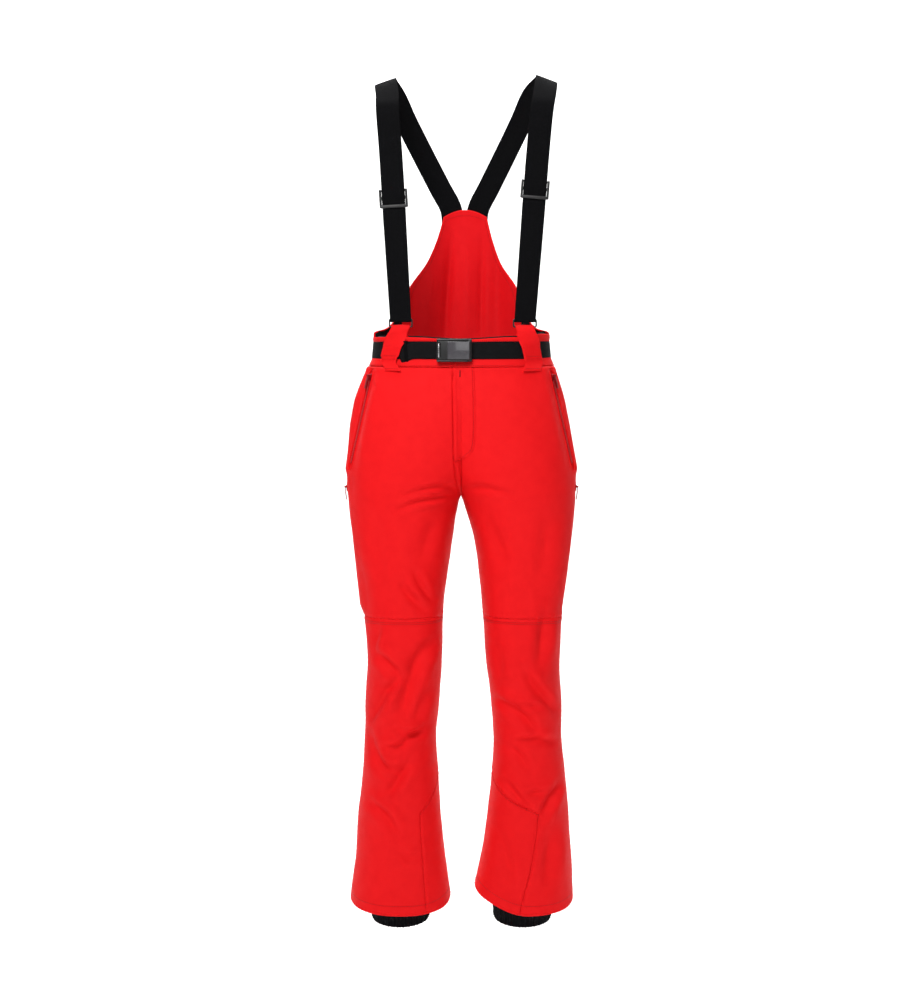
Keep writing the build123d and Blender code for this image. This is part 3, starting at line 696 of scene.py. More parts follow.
def fold_heights(x, z, folds):
    """How far the folds push each spot of the cloth out of the bare form."""
    height = np.zeros_like(x)
    for points, depth, half_width, roll in folds:
        line = smooth_line(points)
        reach = 4 * half_width + 4
        low, high = line.min(axis=0) - reach, line.max(axis=0) + reach
        near = (x > low[0]) & (x < high[0]) & (z > low[1]) & (z < high[1])
        if not near.any():
            continue
        spots = np.stack([x[near], z[near]], axis=-1)
        first, run = line[:-1], np.diff(line, axis=0)
        share = np.einsum("pki,ki->pk", spots[:, None] - first[None], run) / (run**2).sum(axis=1)
        closest = first[None] + np.clip(share, 0, 1)[..., None] * run[None]
        away = np.linalg.norm(spots[:, None] - closest, axis=2)
        best = away.argmin(axis=1)
        pick = (np.arange(len(best)), best)
        distance = away[pick]
        along = (best + np.clip(share[pick], 0, 1)) / len(run)
        direction = unit(run)[best]
        offset = spots - closest[pick]
        cross = direction[:, 0] * offset[:, 1] - direction[:, 1] * offset[:, 0]
        signed = np.sign(cross) * distance / half_width
        taper = np.sin(np.pi * np.clip(along * 0.92 + 0.04, 0, 1)) ** 0.7
        valley = -depth * bell(signed * 1.1)
        rolls = roll * bell((signed - 1.7) / 1.1) + 0.45 * roll * bell((signed + 1.9) / 1.2)
        height[near] += taper * (valley + rolls)
    return height


def soft_noise(points, size, seed):
    """Slow random waves of about the given size, from -1 to 1."""
    flat = points.reshape(-1, 3)
    values = [noise.noise(Vector((p[0] / size + seed, p[1] / size, p[2] / size))) for p in flat]
    return np.array(values).reshape(points.shape[:-1])


PIN_Z = 4.9  # height of a zip pull's hinge above the middle of its teeth
TAPE_UNDER = -PIN_Z - 2.6
LIP = -PIN_Z + 0.4
ZIPS = []
joint = {j["name"]: j for j in frame["joints"]}


def frame_matrix(x_axis, y_axis, z_axis, origin):
    matrix = np.eye(4)
    matrix[:3] = np.stack([x_axis, y_axis, z_axis, origin], axis=1)
    return matrix


def zip_matrix(kind, suffix):
    """The zip's own frame: x across the tape, y down it, z out, at the pull's hinge."""
    pull = joint[f"{kind}_pull_swing{suffix}"]
    down = unit(np.array(joint[f"{kind}_zip_slide{suffix}"]["axis"], float))
    across = unit(np.array(pull["axis"], float))
    return frame_matrix(across, down, np.cross(across, down), np.array(pull["pos_m"]) / MM)


for side_name, _ in SIDES:
    for kind in ("pocket", "vent"):
        ZIPS.append((zip_matrix(kind, f"_{side_name}"), ZIP_LENGTH[kind]))


def let_in_zips(points):
    """Brings the cloth to each zip's level and sinks a channel in it for the tape."""
    for matrix, length in ZIPS:
        local = (points - matrix[:3, 3]) @ matrix[:3, :3]
        across, down, out = np.abs(local[..., 0]), local[..., 1], local[..., 2]
        this_side = np.abs(out) < 40
        ends = smooth_step((down + 34) / 24) * smooth_step((length + 26 - down) / 22)
        near = smooth_step((46 - across) / 36) * ends * this_side
        lifted = out + (LIP - out) * near
        channel_ends = smooth_step((down + 14) / 3) * smooth_step((length + 10 - down) / 3)
        channel = smooth_step((9.2 - across) / 2.6) * channel_ends * this_side
        target = lifted + (TAPE_UNDER - lifted) * channel
        points = points + matrix[:3, 2] * (target - out)[..., None]
    return points


def dressed(side, share, z, back):
    """The cloth's surface: the form with folds and slow waves. Also its outward normals."""
    points = leg_surface(side, share, z, back)
    normals = grid_normals(points)
    height = FOLD_STRENGTH * fold_heights(points[..., 0], points[..., 2], BACK_FOLDS if back else FRONT_FOLDS)
    # a fold seen from the front fades as the cloth turns to the side
    height = height * np.clip(np.abs(normals[..., 1]) * 1.6, 0, 1)
    waves = 1.5 * soft_noise(points, 85, 3.1) + 0.6 * soft_noise(points, 30, 9.7)
    return points, normals, height + waves * np.clip((-z - 40) / 60, 0, 1)


def seam(distance, along, depth=1.4, width=2.4):
    """The pull of a stitched seam on the cloth beside it."""
    distance = np.abs(distance)
    pull = -depth * bell(distance / width) + 0.45 * depth * bell((distance - 5.5) / 3.2)
    pucker = 0.32 * np.sin(2 * np.pi * along / 9.0) * bell(distance / 7.0)
    return pull + pucker


def band_edge_z(y):
    """Height of the waistband's lower seam, which dips to the front."""
    return BAND_LOW / math.cos(WAIST_TILT) + y * math.tan(WAIST_TILT)


def waist_level(side, back):
    def level(share):
        z = np.full_like(share, BAND_LOW)
        for _ in range(3):
            z = band_edge_z(leg_surface(side, share, z, back)[..., 1])
        return z
    return level


def hem_level(side, back):
    def level(share):
        z = np.full_like(share, HEM_Z)
        for _ in range(3):
            spot = leg_surface(side, share, z, back)
            z = HEM_Z + (spot[..., 1] - 42) * HEM_SLOPE
            if side > 0:
                # this leg is turned a little, which lifts the hem at its inner side
                z = z + 24 * smooth_step((120 - spot[..., 0]) / 110)
        return z
    return level


def knee_level(share):
    return KNEE_Z - 3 * np.sin(np.pi * share)


def guard_level(guard):
    """The guard's top edge climbs towards the inseam."""
    def level(share):
        climb = np.clip((share - guard) / (1 - guard), 0, 1)
        return GUARD_TOP_Z + (GUARD_INSEAM_Z - GUARD_TOP_Z) * climb
    return level


def leg_grid(side, back, levels, rows, guard, curve, columns):
    """Shares and heights of a grid between levels, with a column along the guard's edge.

    rows holds the number of rows between levels; curve bends the guard's edge below the last.
    """
    share, z = [], []
    for index, count in enumerate(rows):
        last = index == len(rows) - 1
        for down in np.linspace(0, 1, count, endpoint=last):
            edge = guard + (curve(down) if last else 0)
            outside = np.linspace(0, edge, columns[0], endpoint=False)
            row = np.concatenate([outside, np.linspace(edge, 1, columns[1])])
            high, low = levels[index](row), levels[index + 1](row)
            share.append(row)
            z.append(high + (low - high) * down)
    return np.array(share), np.array(z)


class LegCloth:
    """One side of one leg, from the waistband to the hem, as a single grid of cloth."""

    def __init__(self, side, back, guard, curve):
        knee = [] if back else [knee_level]
        levels = [waist_level(side, back), *knee, guard_level(guard), hem_level(side, back)]
        rows = (270, 76) if back else (160, 112, 76)
        columns = (84, 74)
        share, z = leg_grid(side, back, levels, rows, guard, curve, columns)
        points, normals, height = dressed(side, share, z, back)
        self.guard_row, self.guard_column = sum(rows[:-1]), columns[0]
        self.knee_row = rows[0]
        across, down = row_run(points), run_of(points)
        height = height + seam(across, z)
        below_crotch = smooth_step((-250 - z) / 14) if not back else 1.0
        height = height + seam(across[:, -1:] - across, z) * below_crotch
        height = height + seam(down, across) + seam(down[-1:] - down, across, 0.8)
        if not back:
            height = height + seam(down - down[self.knee_row], across, 0.8)
        to_edge = across - across[:, self.guard_column][:, None]
        to_top = down - down[self.guard_row]
        under = smooth_step((to_top + 3) / 6)
        inside = smooth_step((to_edge + 3) / 6)
        height = height + seam(to_edge, z, 1.0) * under + seam(to_top, across, 0.8) * inside
        self.points = let_in_zips(points + normals * height[..., None])
        self.joined = np.abs(points[:, -1, 0]) < 0.5
        self.across, self.down = across, down

    def meet(self, other):
        """Makes two halves meet at the centre seam, above the crotch."""
        flip = np.array([-1, 1, 1])
        rows = self.joined & other.joined
        middle = (self.points[:, -1] + other.points[:, -1] * flip) / 2 * np.array([0, 1, 1])
        fade = smooth_step((30 - (self.across[:, -1:] - self.across)) / 30)[..., None]
        for cloth in (self, other):
            shift = np.where(rows[:, None], middle - cloth.points[:, -1], 0.0)
            cloth.points = cloth.points + shift[:, None, :] * fade
            cloth.normals = grid_normals(cloth.points)

    def cells(self, rows=(0, None), columns=(0, None)):
        kept = np.zeros((self.points.shape[0] - 1, self.points.shape[1] - 1), bool)
        kept[slice(*rows), slice(*columns)] = True
        return kept

    def row_stitch(self, row, offset, columns=(2, -2)):
        """A stitch line along a row, offset down the leg by some millimetres."""
        gap = np.abs(self.down[min(row + 1, len(self.down) - 1)] - self.down[row - 1]).mean() / 2
        row = row + round(offset / gap)
        cut = slice(*columns)
        stitch_lines.append((self.points[row, cut] + self.normals[row, cut] * 0.15, self.normals[row, cut]))


stitch_lines = []
GUARD_SHARE = {("left", False): 0.52, ("right", False): 0.66, ("left", True): 0.60, ("right", True): 0.60}
# how far the guard's edge leans to the inseam on its way down, as a share of the panel
GUARD_LEAN = {("left", False): 0.075}
cloths = {}
for name, side in SIDES:
    for back in (False, True):
        lean = GUARD_LEAN.get((name, back), 0.0)
        cloths[name, back] = LegCloth(side, back, GUARD_SHARE[name, back] - lean, lambda f: lean * f)
for back in (False, True):
    cloths["left", back].meet(cloths["right", back])

def shell_panel(name, node, cloth, cells):
    panel = sheet_object(name, cloth.points, red_cloth, SHELL_CLOTH, cells)
    finish_piece(panel, (node,), held="hung")


for name, _ in SIDES:
    front, rear = cloths[name, False], cloths[name, True]
    knee = front.knee_row
    top = front.cells((0, knee))
    shell_panel(f"front_panel_{name}_cloth", f"front_panel_{name}", front, top)
    guard = front.cells((front.guard_row, None), (front.guard_column, None))
    shell_panel(f"shin_panel_{name}_cloth", f"shin_panel_{name}", front, front.cells() & ~top & ~guard)
    shell_panel(f"edge_guard_{name}_front_cloth", f"edge_guard_{name}", front, guard)
    front.row_stitch(knee, 5)
    front.row_stitch(knee, 9)

    guard = rear.cells((rear.guard_row, None), (rear.guard_column, None))
    shell_panel(f"back_panel_{name}_cloth", f"back_panel_{name}", rear, rear.cells() & ~guard)
    shell_panel(f"edge_guard_{name}_back_cloth", f"edge_guard_{name}", rear, guard)
    for cloth in (front, rear):
        last = len(cloth.points) - 1
        cloth.row_stitch(last - 1, -16)
        cloth.row_stitch(cloth.guard_row, 4, (cloth.guard_column, -2))
    # the hem is turned up inside, so its edge is thick and rounded
    rim = np.concatenate([front.points[-1], rear.points[-1][::-1][1:-1]])
    hem = tube(f"hem_edge_{name}_cloth", rim + (0, 0, 0.6), 1.5, red_cloth, closed=True, sides=10)
    finish_piece(hem, ())


def tree_of(clothes):
    vertices, faces = [], []
    for cloth in clothes:
        rows, columns = cloth.points.shape[:2]
        faces += grid_faces(rows, columns, start=len(vertices))
        vertices += [tuple(p) for p in cloth.points.reshape(-1, 3)]
    return BVHTree.FromPolygons(vertices, faces)


front_tree = tree_of([cloths["left", False], cloths["right", False]])


def on_front(points, lift=0.0):
    """Spots on the front cloth at given x and z, with outward normals."""
    spots, normals = [], []
    for x, z in points:
        spot, normal, _, _ = front_tree.ray_cast(Vector((x, -400, z)), Vector((0, 1, 0)))
        if spot is None or spot.y > 0:
            spot, normal, _, _ = front_tree.find_nearest(Vector((x, -110, z)))
        if normal.y > 0:
            normal = -normal
        spots.append(spot + normal * lift)
        normals.append(normal)
    return np.array([s[:] for s in spots]), np.array([n[:] for n in normals])


# ---- Waist ring geometry ------------------------------------------------------------------
def waist_point(turn, outset, z):
    """A point round the waist in the tilted waist frame. turn 0 is +X and pi is -X, going back."""
    turn = np.asarray(turn, float)
    x = (WAIST_HALF_WIDTH + outset) * signed_power(np.cos(turn), 2 / SQUARENESS)
    y = (WAIST_HALF_DEPTH + outset * 0.6) * signed_power(np.sin(turn), 2 / SQUARENESS)
    z = np.broadcast_to(np.asarray(z, float), x.shape)
    c, s = math.cos(WAIST_TILT), math.sin(WAIST_TILT)
    return np.stack([x, y * c - z * s, y * s + z * c], axis=-1)


WAIST_UP = np.array([0, -math.sin(WAIST_TILT), math.cos(WAIST_TILT)])


def turn_at(x, front=True):
    """The angle round the waist at which the front or back wall stands at x."""
    share = x / (WAIST_HALF_WIDTH + BELT_OUT)
    turn = math.acos(math.copysign(abs(share) ** (SQUARENESS / 2), share))
    return -turn if front else turn


def waist_frame(x, outset, z):
    """A 4 by 4 matrix at the waist's front wall: x along it, y into the garment, z up it."""
    turn = turn_at(x)
    here = waist_point(turn, outset, z)
    ahead = waist_point(turn + 0.01, outset, z)
    along = unit(ahead - here)
    return frame_matrix(along, np.cross(WAIST_UP, along), WAIST_UP, here)


def band_rise(turn):
    """How much the waistband's top edge climbs in front, from the buckle out to the sides."""
    x, y = waist_point(turn, 0, 0)[..., :2].T
    climb = 4.5 * smooth_step(np.abs(x) / 95) + smooth_step((x - 100) / 40) * 6
    return climb * smooth_step((30 - y) / 60)


def waist_band(
    name, outset, flare, low, high, thickness, material, start, end, count=240, columns=22, lift=0.0,
    rise=0.0,
):
    """A band of cloth round the waist from one angle to another."""
    turn = np.linspace(start, end, count)
    top = high + rise * band_rise(turn)
    points = waist_point(turn, outset, (low + top) / 2)
    rim = waist_point(turn, outset - flare / 2, high)
    # the lower edge flares less at the back, where the shell is flatter
    behind = smooth_step(waist_point(turn, 0, 0)[:, 1] / 90)
    foot = waist_point(turn, outset + flare / 2 * (1 - 1.6 * behind), low)
    return ribbon(
        name, points, rim - foot, top - low, thickness, material, columns=columns, lift=lift, roundness=10,
    )


BAND_OUT, BAND_FLARE, BAND_HOLLOW, BAND_CLOTH = 8.6, 7.2, 5.8, 3.0
full_start = turn_at(FLY_EDGE_X)
full_end = full_start + 2 * math.pi
band = waist_band(
    "waistband_cloth", BAND_OUT, BAND_FLARE, BAND_LOW, BAND_HIGH, BAND_CLOTH, red_cloth, full_start, full_end,
    lift=-BAND_HOLLOW, rise=1.0,
)
finish_piece(band, ("waistband",))
lining = waist_band(
    "waistband_tricot", -2.4, 4, BAND_LOW + 1, BAND_HIGH + 2, 2.2, black_lining, full_start, full_end,
    rise=1.0,
)
finish_piece(lining, ("waistband_lining",))

# topstitching along both edges of the band
for height in (BAND_LOW + 3, BAND_HIGH - 3):
    turn = np.linspace(full_start + 0.02, full_end - 0.02, 300)
    share = 2 * (height - BAND_LOW) / (BAND_HIGH - BAND_LOW) - 1
    outset = BAND_OUT - BAND_FLARE / 2 * share - BAND_HOLLOW * (1 - share**2) + BAND_CLOTH / 2
    points = waist_point(turn, outset, height)
    stitch_lines.append((points, points * (1, 1, 0)))


# ---- Back bib -----------------------------------------------------------------------------
BIB_TOP = 274.0
BIB_LEAN = 7.0
BIB_SIDE = ((34, 159), (44, 141), (60, 126), (88, 112), (122, 101), (176, 67), (211, 53), (261, 39),
            (280, 34))
# Upright folds of the bib as seen from the front: x, push outwards and half width.
BIB_FOLDS = ((-29, 9, 9), (8, -6.5, 15), (36, 5.0, 7), (66, 8, 14), (-62, -5.5, 15), (-98, 3, 12),
             (98, -3, 12))
LINING_FROM = 112.0


def bib_half_width(z):
    return smooth_rows(BIB_SIDE[::-1], z)[..., 0]


def bib_wall(x, inset):
    share = np.abs(x / (WAIST_HALF_WIDTH - 1 - inset))
    return (WAIST_HALF_DEPTH - 1 - inset) * (1 - share**SQUARENESS).clip(0.01, 1) ** (1 / SQUARENESS)


def bib_grid(inset):
    u = np.linspace(-1, 1, 161)[None, :]
    t = np.linspace(0, 1, 130)[:, None]
    top = BIB_TOP - 13 * np.abs(u) ** 2.2
    z = BAND_HIGH + (top - BAND_HIGH) * t
    for _ in range(4):
        x = u * bib_half_width(z)
        base = BAND_HIGH + bib_wall(x, inset) * math.tan(WAIST_TILT) - 1
        z = base + (top - base) * t
    x = u * bib_half_width(z)
    y = bib_wall(x, inset)
    fall = np.sin(np.pi * np.clip(t * 0.86 + 0.1, 0, 1)) ** 0.8 * bell((t / 0.75) ** 2)
    for centre, push, half_width in BIB_FOLDS:
        wander = centre + 6 * (t - 0.3) * np.sign(-centre)
        y = y + push * fall * bell((x - wander) / half_width)
    return np.stack([x + BIB_LEAN * smooth_step((z - 30) / 240), y, z + 0 * x], axis=-1)


BIB_GAP = 2.6
outer, inner = bib_grid(0.0), bib_grid(BIB_GAP)
bib = sheet_object("back_bib_cloth", outer, red_cloth, 1.2)
finish_piece(bib, ("back_bib",), held="hung")
cell_x = (inner[:-1, :-1, 0] + inner[1:, 1:, 0]) / 2
at_side = np.abs(cell_x) > LINING_FROM
inner_bib = sheet_object("bib_lining_cloth", inner, bib_cloth, 1.0, ~at_side)
finish_piece(inner_bib, ("bib_lining",), held="hung")
for side_name, side in SIDES:
    patch = at_side & (cell_x * side > 0)
    side_lining = sheet_object(f"bib_side_lining_{side_name}", inner, black_lining, 1.0, patch)
    finish_piece(side_lining, ())

# binding round the bib's edge, and its topstitching
middle = (outer + inner) / 2
rim = np.concatenate([middle[:, 0], middle[-1, 1:-1], middle[::-1, -1]])
binding = tube("bib_edge", rim, 1.9, red_cloth, squash=1.3)
finish_piece(binding, ())
for layer, facing, off in ((inner, -1.0, -1.5), (outer, 1.0, 0.3)):
    line = np.concatenate([layer[8:-6, 7], layer[-6, 8:-8], layer[-6:8:-1, -8]])
    stitch_lines.append((line + (0, off, 0), np.broadcast_to((0.0, facing, 0.0), line.shape)))


# ---- Belt, tail, keeper and loops ---------------------------------------------------------
BELT_HALF = 15.4
BUCKLE_X = -12.0
TAIL_END_X = -106.0

belt = waist_band(
    "belt_strap", BELT_OUT + 0.9, 3, BELT_Z - BELT_HALF, BELT_Z + BELT_HALF, 1.7, webbing,
    turn_at(BUCKLE_X + 22), turn_at(BUCKLE_X - 22) + 2 * math.pi, columns=26,
)
finish_piece(belt, ("belt",))

# the tail's free end hangs a little below the belt
tail_turn = np.linspace(turn_at(TAIL_END_X), turn_at(BUCKLE_X - 24), 70)
droop = -9.0 * smooth_step(1 - (tail_turn - tail_turn[0]) / 0.22)
tail_points = waist_point(tail_turn, BELT_OUT + 3.2 - droop * 0.12, BELT_Z + droop)
tail_run = np.linspace(0, 90, 70)
tail_width = (2 * BELT_HALF - 1.6) * np.sqrt(1 - np.clip(1 - tail_run / 9, 0, 0.98) ** 2)
tail = ribbon("belt_tail_strap", tail_points, WAIST_UP, tail_width, 1.5, webbing, columns=26, roundness=10)
finish_piece(tail, ("belt_tail",))


def wrap_path(inner, outer, low, high, radius, count=8):
    """A closed loop round a strap, in the plane of outset and height."""
    path = []
    for cx, cz, start in (
        (outer - radius, high - radius, 0), (inner + radius, high - radius, 90),
        (inner + radius, low + radius, 180), (outer - radius, low + radius, 270),
    ):
        for step in range(count):
            turn = math.radians(start + 90 * step / (count - 1))
            path.append((cx + radius * math.cos(turn), cz + radius * math.sin(turn)))
    return path


def loop_round_belt(name, x, front, width, inner, outer, low, high, thickness, material, lean=0.0):
    """A closed band round the belt at x. lean moves its lower end along the waist."""
    points, along = [], []
    for outset, z in wrap_path(inner, outer, low, high, 1.6):
        turn = turn_at(x - lean * (z - high) / (low - high), front)
        points.append(waist_point(turn, outset, z))
        along.append(waist_point(turn + 0.01, 5, 0) - waist_point(turn - 0.01, 5, 0))
    return ribbon(name, points, along, width, thickness, material, closed=True, columns=14)


keeper = loop_round_belt(
    "belt_keeper_band", -97, True, 7, 3.4, 9.2, BELT_Z - 20, BELT_Z + 16, 1.0, elastic, lean=-3,
)
finish_piece(keeper, ("belt_keeper",))
for name, side in SIDES:
    loop = loop_round_belt(
        f"belt_loop_back_{name}_cloth", side * 93, False, 17, 3.0, 9.4, -20, 20, 2.0, red_cloth,
    )
    finish_piece(loop, (f"belt_loop_back_{name}",))


# ---- Suspenders ---------------------------------------------------------------------------
def spline_points(keys, step=3.0):
    """Points every few millimetres along a smooth line through keys."""
    line = smooth_line(keys, 60 * len(keys))
    run = run_of(line)
    at = np.linspace(0, run[-1], max(8, int(run[-1] / step)))
    return np.stack([np.interp(at, run, line[:, i]) for i in range(3)], axis=1)


STRAP_WIDTH = 41.0
RING_STRAP_WIDTH = 37.5
# By side: x and z of the strap's top end, then x at the bib's top and slope of the back run.
SHOULDER = {1: (153, 490), -1: (136.5, 485)}
BACK_RUN = {1: (29.6, 0.503), -1: (17.4, 0.526)}
# By side, for the cloth loop: heights and middles from its foot up, width of its foot, and how
# far out it stands over the belt.
LOOP_LINE = {1: ((-32, -5, 17), (124.5, 121.5, 116.7)), -1: ((-32, -9, 22), (120.7, 122.6, 112.5))}
LOOP_FOOT = {1: 41, -1: 34}
OVER_BELT = {1: 9.4, -1: 10.9}


def node_middle(node):
    low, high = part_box(node)
    return np.array([(a + b) / 2 / MM for a, b in zip(low, high)])


for name, side in SIDES:
    slide = np.array(joint[f"adjuster_slide_{name}"]["axis"])
    centre = node_middle(f"adjuster_{name}") + (0, 0.4, 0)
    ring = node_middle(f"strap_ring_{name}")

    def on_run(z, push=0.0):
        """A point of the taut front run at height z, pushed backwards."""
        point = centre + slide * (z - centre[2]) / slide[2]
        return (point[0], point[1] + push, z)

    def on_back(z, y):
        """A point of the straight back run, down to the bib."""
        bib_x, slope = BACK_RUN[side]
        return (side * (bib_x + slope * (z - BIB_TOP)), y, z)

    top_x, top_z = SHOULDER[side]
    foot = ring[2] + 3.2
    keys = [
        on_run(foot, 4.6),
        on_run(foot - 1.0, 2.6),
        on_run(foot, 0.4),
        on_run(foot + 16),
        on_run(200),
        on_run(330),
        (on_run(410)[0] * 1.01, -94.5, 410),
        (side * (top_x - 5), -76, top_z - 38),
        (side * top_x, -38, top_z - 6),
        (side * (top_x - 1), 4, top_z),
        on_back(top_z - 14, 50),
        on_back(434, 84),
        on_back(378, 98),
        on_back(318, 104),
        on_back(280, 104.6 + side),
        (BIB_LEAN - 1 + side * 22, 104.2 + side, 246),
    ]
    path = spline_points(keys, 2.2)
    run = tangents(path, False)
    level = np.tile((1.0, 0.0, 0.0), (len(path), 1))
    # the strap's upper end slopes down and outwards over the shoulder
    level[:, 2] = -side * 0.40 * bell((path[:, 2] - 500) / 50)
    level = unit(level - run * (level * run).sum(axis=1, keepdims=True))
    front_width = np.interp(path[:, 2], (foot, 240), (RING_STRAP_WIDTH, STRAP_WIDTH))
    width = np.where(path[:, 1] < 60, front_width, STRAP_WIDTH)
    strap = ribbon(f"suspender_{name}_strap", path, level, width, 1.7, elastic, columns=24)
    finish_piece(strap, (f"suspender_{name}",))

    # the returned layer behind the front run, from the ring up to the adjuster
    depths = ((foot + 1, 5.0), (foot + 40, 4.8), (160, 4.4), (centre[2] - 10, 4.0), (centre[2] - 1, 3.6))
    path = spline_points([on_run(*depth) for depth in depths])
    layer = ribbon(
        f"strap_return_{name}_strap", path, (1, 0, 0), RING_STRAP_WIDTH - 1, 1.5, elastic, columns=20,
    )
    finish_piece(layer, (f"strap_return_{name}",), body=None)
    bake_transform(layer)

    # adjuster slide: two cheeks, a front bar below, and two bars behind the strap
    shapes = []
    run_axis = unit(slide)
    level = unit(np.array([1.0, 0, 0]) - run_axis * run_axis[0])
    matrix = frame_matrix(level, np.cross(run_axis, level), run_axis, centre)
    outer_half, inner_half = STRAP_WIDTH / 2 + 4.6, STRAP_WIDTH / 2 + 0.4
    for s in (-1, 1):
        low, high = sorted((s * outer_half, s * inner_half))
        shapes.append(rounded_box((low, -4.2, -17.5), (high, 3.6, 15), 2.0, 4))
    shapes.append(rounded_box((-outer_half + 0.6, -5.2, -18.4), (outer_half - 0.6, -1.2, -12.6), 1.9, 4))
    for z_low, z_high in ((11, 15), (-3, 3)):
        shapes.append(rounded_box((-outer_half + 1, 1.3, z_low), (outer_half - 1, 3.4, z_high), 0.9))
    slide_piece = joined(f"adjuster_{name}_slide", shapes, black_plastic, matrix)
    finish_piece(slide_piece, (f"adjuster_{name}",), body=f"adjuster_body_{name}")

    # rectangular wire ring
    half_w, half_h, corner = RING_STRAP_WIDTH / 2 + 1.2, 6.6, 2.4
    outline = wrap_path(-half_w, half_w, -half_h, half_h, corner, count=9)
    wire = [(ring[0] + across, ring[1], ring[2] + up) for across, up in outline]
    loop = tube(f"strap_ring_{name}_wire", wire, 1.4, ring_metal, closed=True, sides=14)
    finish_piece(loop, (f"strap_ring_{name}",))

    # red cloth loop: round the ring's lower bar, then down over the belt to the waistband's seam
    bar = ring[2] - half_h
    over_belt = OVER_BELT[side]
    line_z, line_x = (*LOOP_LINE[side][0], bar), (*LOOP_LINE[side][1], abs(ring[0]))

    def leaning(z):
        """The loop's middle, which moves outwards on its way down."""
        return side * np.interp(z, line_z, line_x)

    def plate(z, out):
        return waist_point(turn_at(leaning(z)), out, z)

    on_shell = on_front([(leaning(-28), -40.5), (leaning(-32), -44)], 2.0)[0]
    keys = [
        plate(20, 3.2),
        (leaning(bar - 10), ring[1] + 2.6, bar - 10),
        (ring[0], ring[1] + 2.4, bar - 1),
        (ring[0], ring[1], bar + 2.4),
        (ring[0], ring[1] - 2.6, bar - 1),
        (leaning(bar - 10), ring[1] - 2.9, bar - 10),
        plate(17, over_belt),
        plate(BELT_Z, over_belt + 0.6),
        plate(-13, over_belt + 1.5),
        plate(-21, over_belt + 3.4),
        *on_shell,
    ]
    path = spline_points(keys, 1.2)
    wall = waist_frame(leaning(-5), 9.6, 0)
    level = path @ WAIST_UP
    share = np.interp(level, (8, bar - 2), (1.0, 0.0))[:, None]
    across = unit(np.array([1.0, 0, 0]) * (1 - share) + wall[:3, 0] * share)
    cloth_width = np.interp(level, (-11, -8, 10, 22, bar), (LOOP_FOOT[side], 40, 41.5, 40, 33))
    tab = ribbon(
        f"suspender_loop_{name}_cloth", path, across, cloth_width, 1.8, red_cloth, columns=22, lift=0.5,
    )
    finish_piece(tab, (f"suspender_loop_{name}",))
    half = len(path) // 2
    for z in (-8, -13, -30):
        base = path[half:][np.argmin(np.abs(level[half:] - z))] - wall[:3, 1] * 1.5
        line = np.array([base + wall[:3, 0] * w for w in np.linspace(-15, 15, 12)])
        stitch_lines.append((line, np.broadcast_to(-wall[:3, 1], line.shape)))


# ---- Buckle -------------------------------------------------------------------------------
tilt = np.array(Matrix.Rotation(WAIST_TILT, 4, "X")) @ np.array(Matrix.Translation((0, 0, BELT_Z)))
tray_back = -110.4
tray_half = 19.8
lever_half = 16.2
pin_y = tray_back - 6.0
left_end, right_end = BUCKLE_X - 31.5, BUCKLE_X + 30
pin_x = left_end + 4
shapes = [rounded_box((left_end, tray_back - 2.4, -tray_half), (right_end, tray_back, tray_half), 1.1)]
for s in (-1, 1):
    low, high = sorted((s * 20.1, s * 16.6))
    shapes.append(rounded_box((left_end, tray_back - 9.4, low), (right_end - 6, tray_back, high), 1.6, 4))
end_low = (right_end - 8, tray_back - 6.8, -tray_half)
shapes.append(rounded_box(end_low, (right_end + 0.4, tray_back - 0.2, tray_half), 2.4, 4))
buckle = joined("buckle_frame_moulding", shapes, black_plastic, tilt)
finish_piece(buckle, ("buckle_frame",))
pin = joined("buckle_pin_rod", [cylinder((pin_x, pin_y, -20.0), (pin_x, pin_y, 20.0), 1.35)], steel, tilt)
finish_piece(pin, ("buckle_pin",))
shapes = []
for z_low, z_high in ((-lever_half, -12.6), (12.6, lever_half)):
    shapes.append(cylinder((pin_x, pin_y, z_low), (pin_x, pin_y, z_high), 2.9))
    shapes.append(rounded_box((pin_x, pin_y - 2.9, z_low), (pin_x + 8, pin_y + 0.6, z_high), 0.7))
plate_low = (pin_x + 2.6, pin_y - 3.0, -lever_half)
shapes.append(rounded_box(plate_low, (right_end - 2, pin_y - 0.4, lever_half), 1.1, 4))
lever = joined("buckle_lever_moulding", shapes, black_plastic, tilt)
finish_piece(lever, ("buckle_lever",), body="lever")
face = joined(
    "buckle_plate_face",
    [rounded_box((left_end + 19, pin_y - 4.2, -15.4), (right_end - 4, pin_y - 2.6, 15.4), 0.75, 4)],
    gloss_plate, tilt,
)
finish_piece(face, ("buckle_plate",), body="lever")


# ---- Fly, pockets and vents ---------------------------------------------------------------
FLAP_SIDE = ((22, -39.5), (23, -60), (24, -110), (24, -158), (20, -184), (8, -197), (-6, -201))
flap_side = smooth_line(FLAP_SIDE, 80)
STITCH_IN = 3.2
line = [(x - STITCH_IN, z + (STITCH_IN if z < -186 else 0)) for x, z in flap_side]
stitch_lines.append(on_front(line, 1.9))

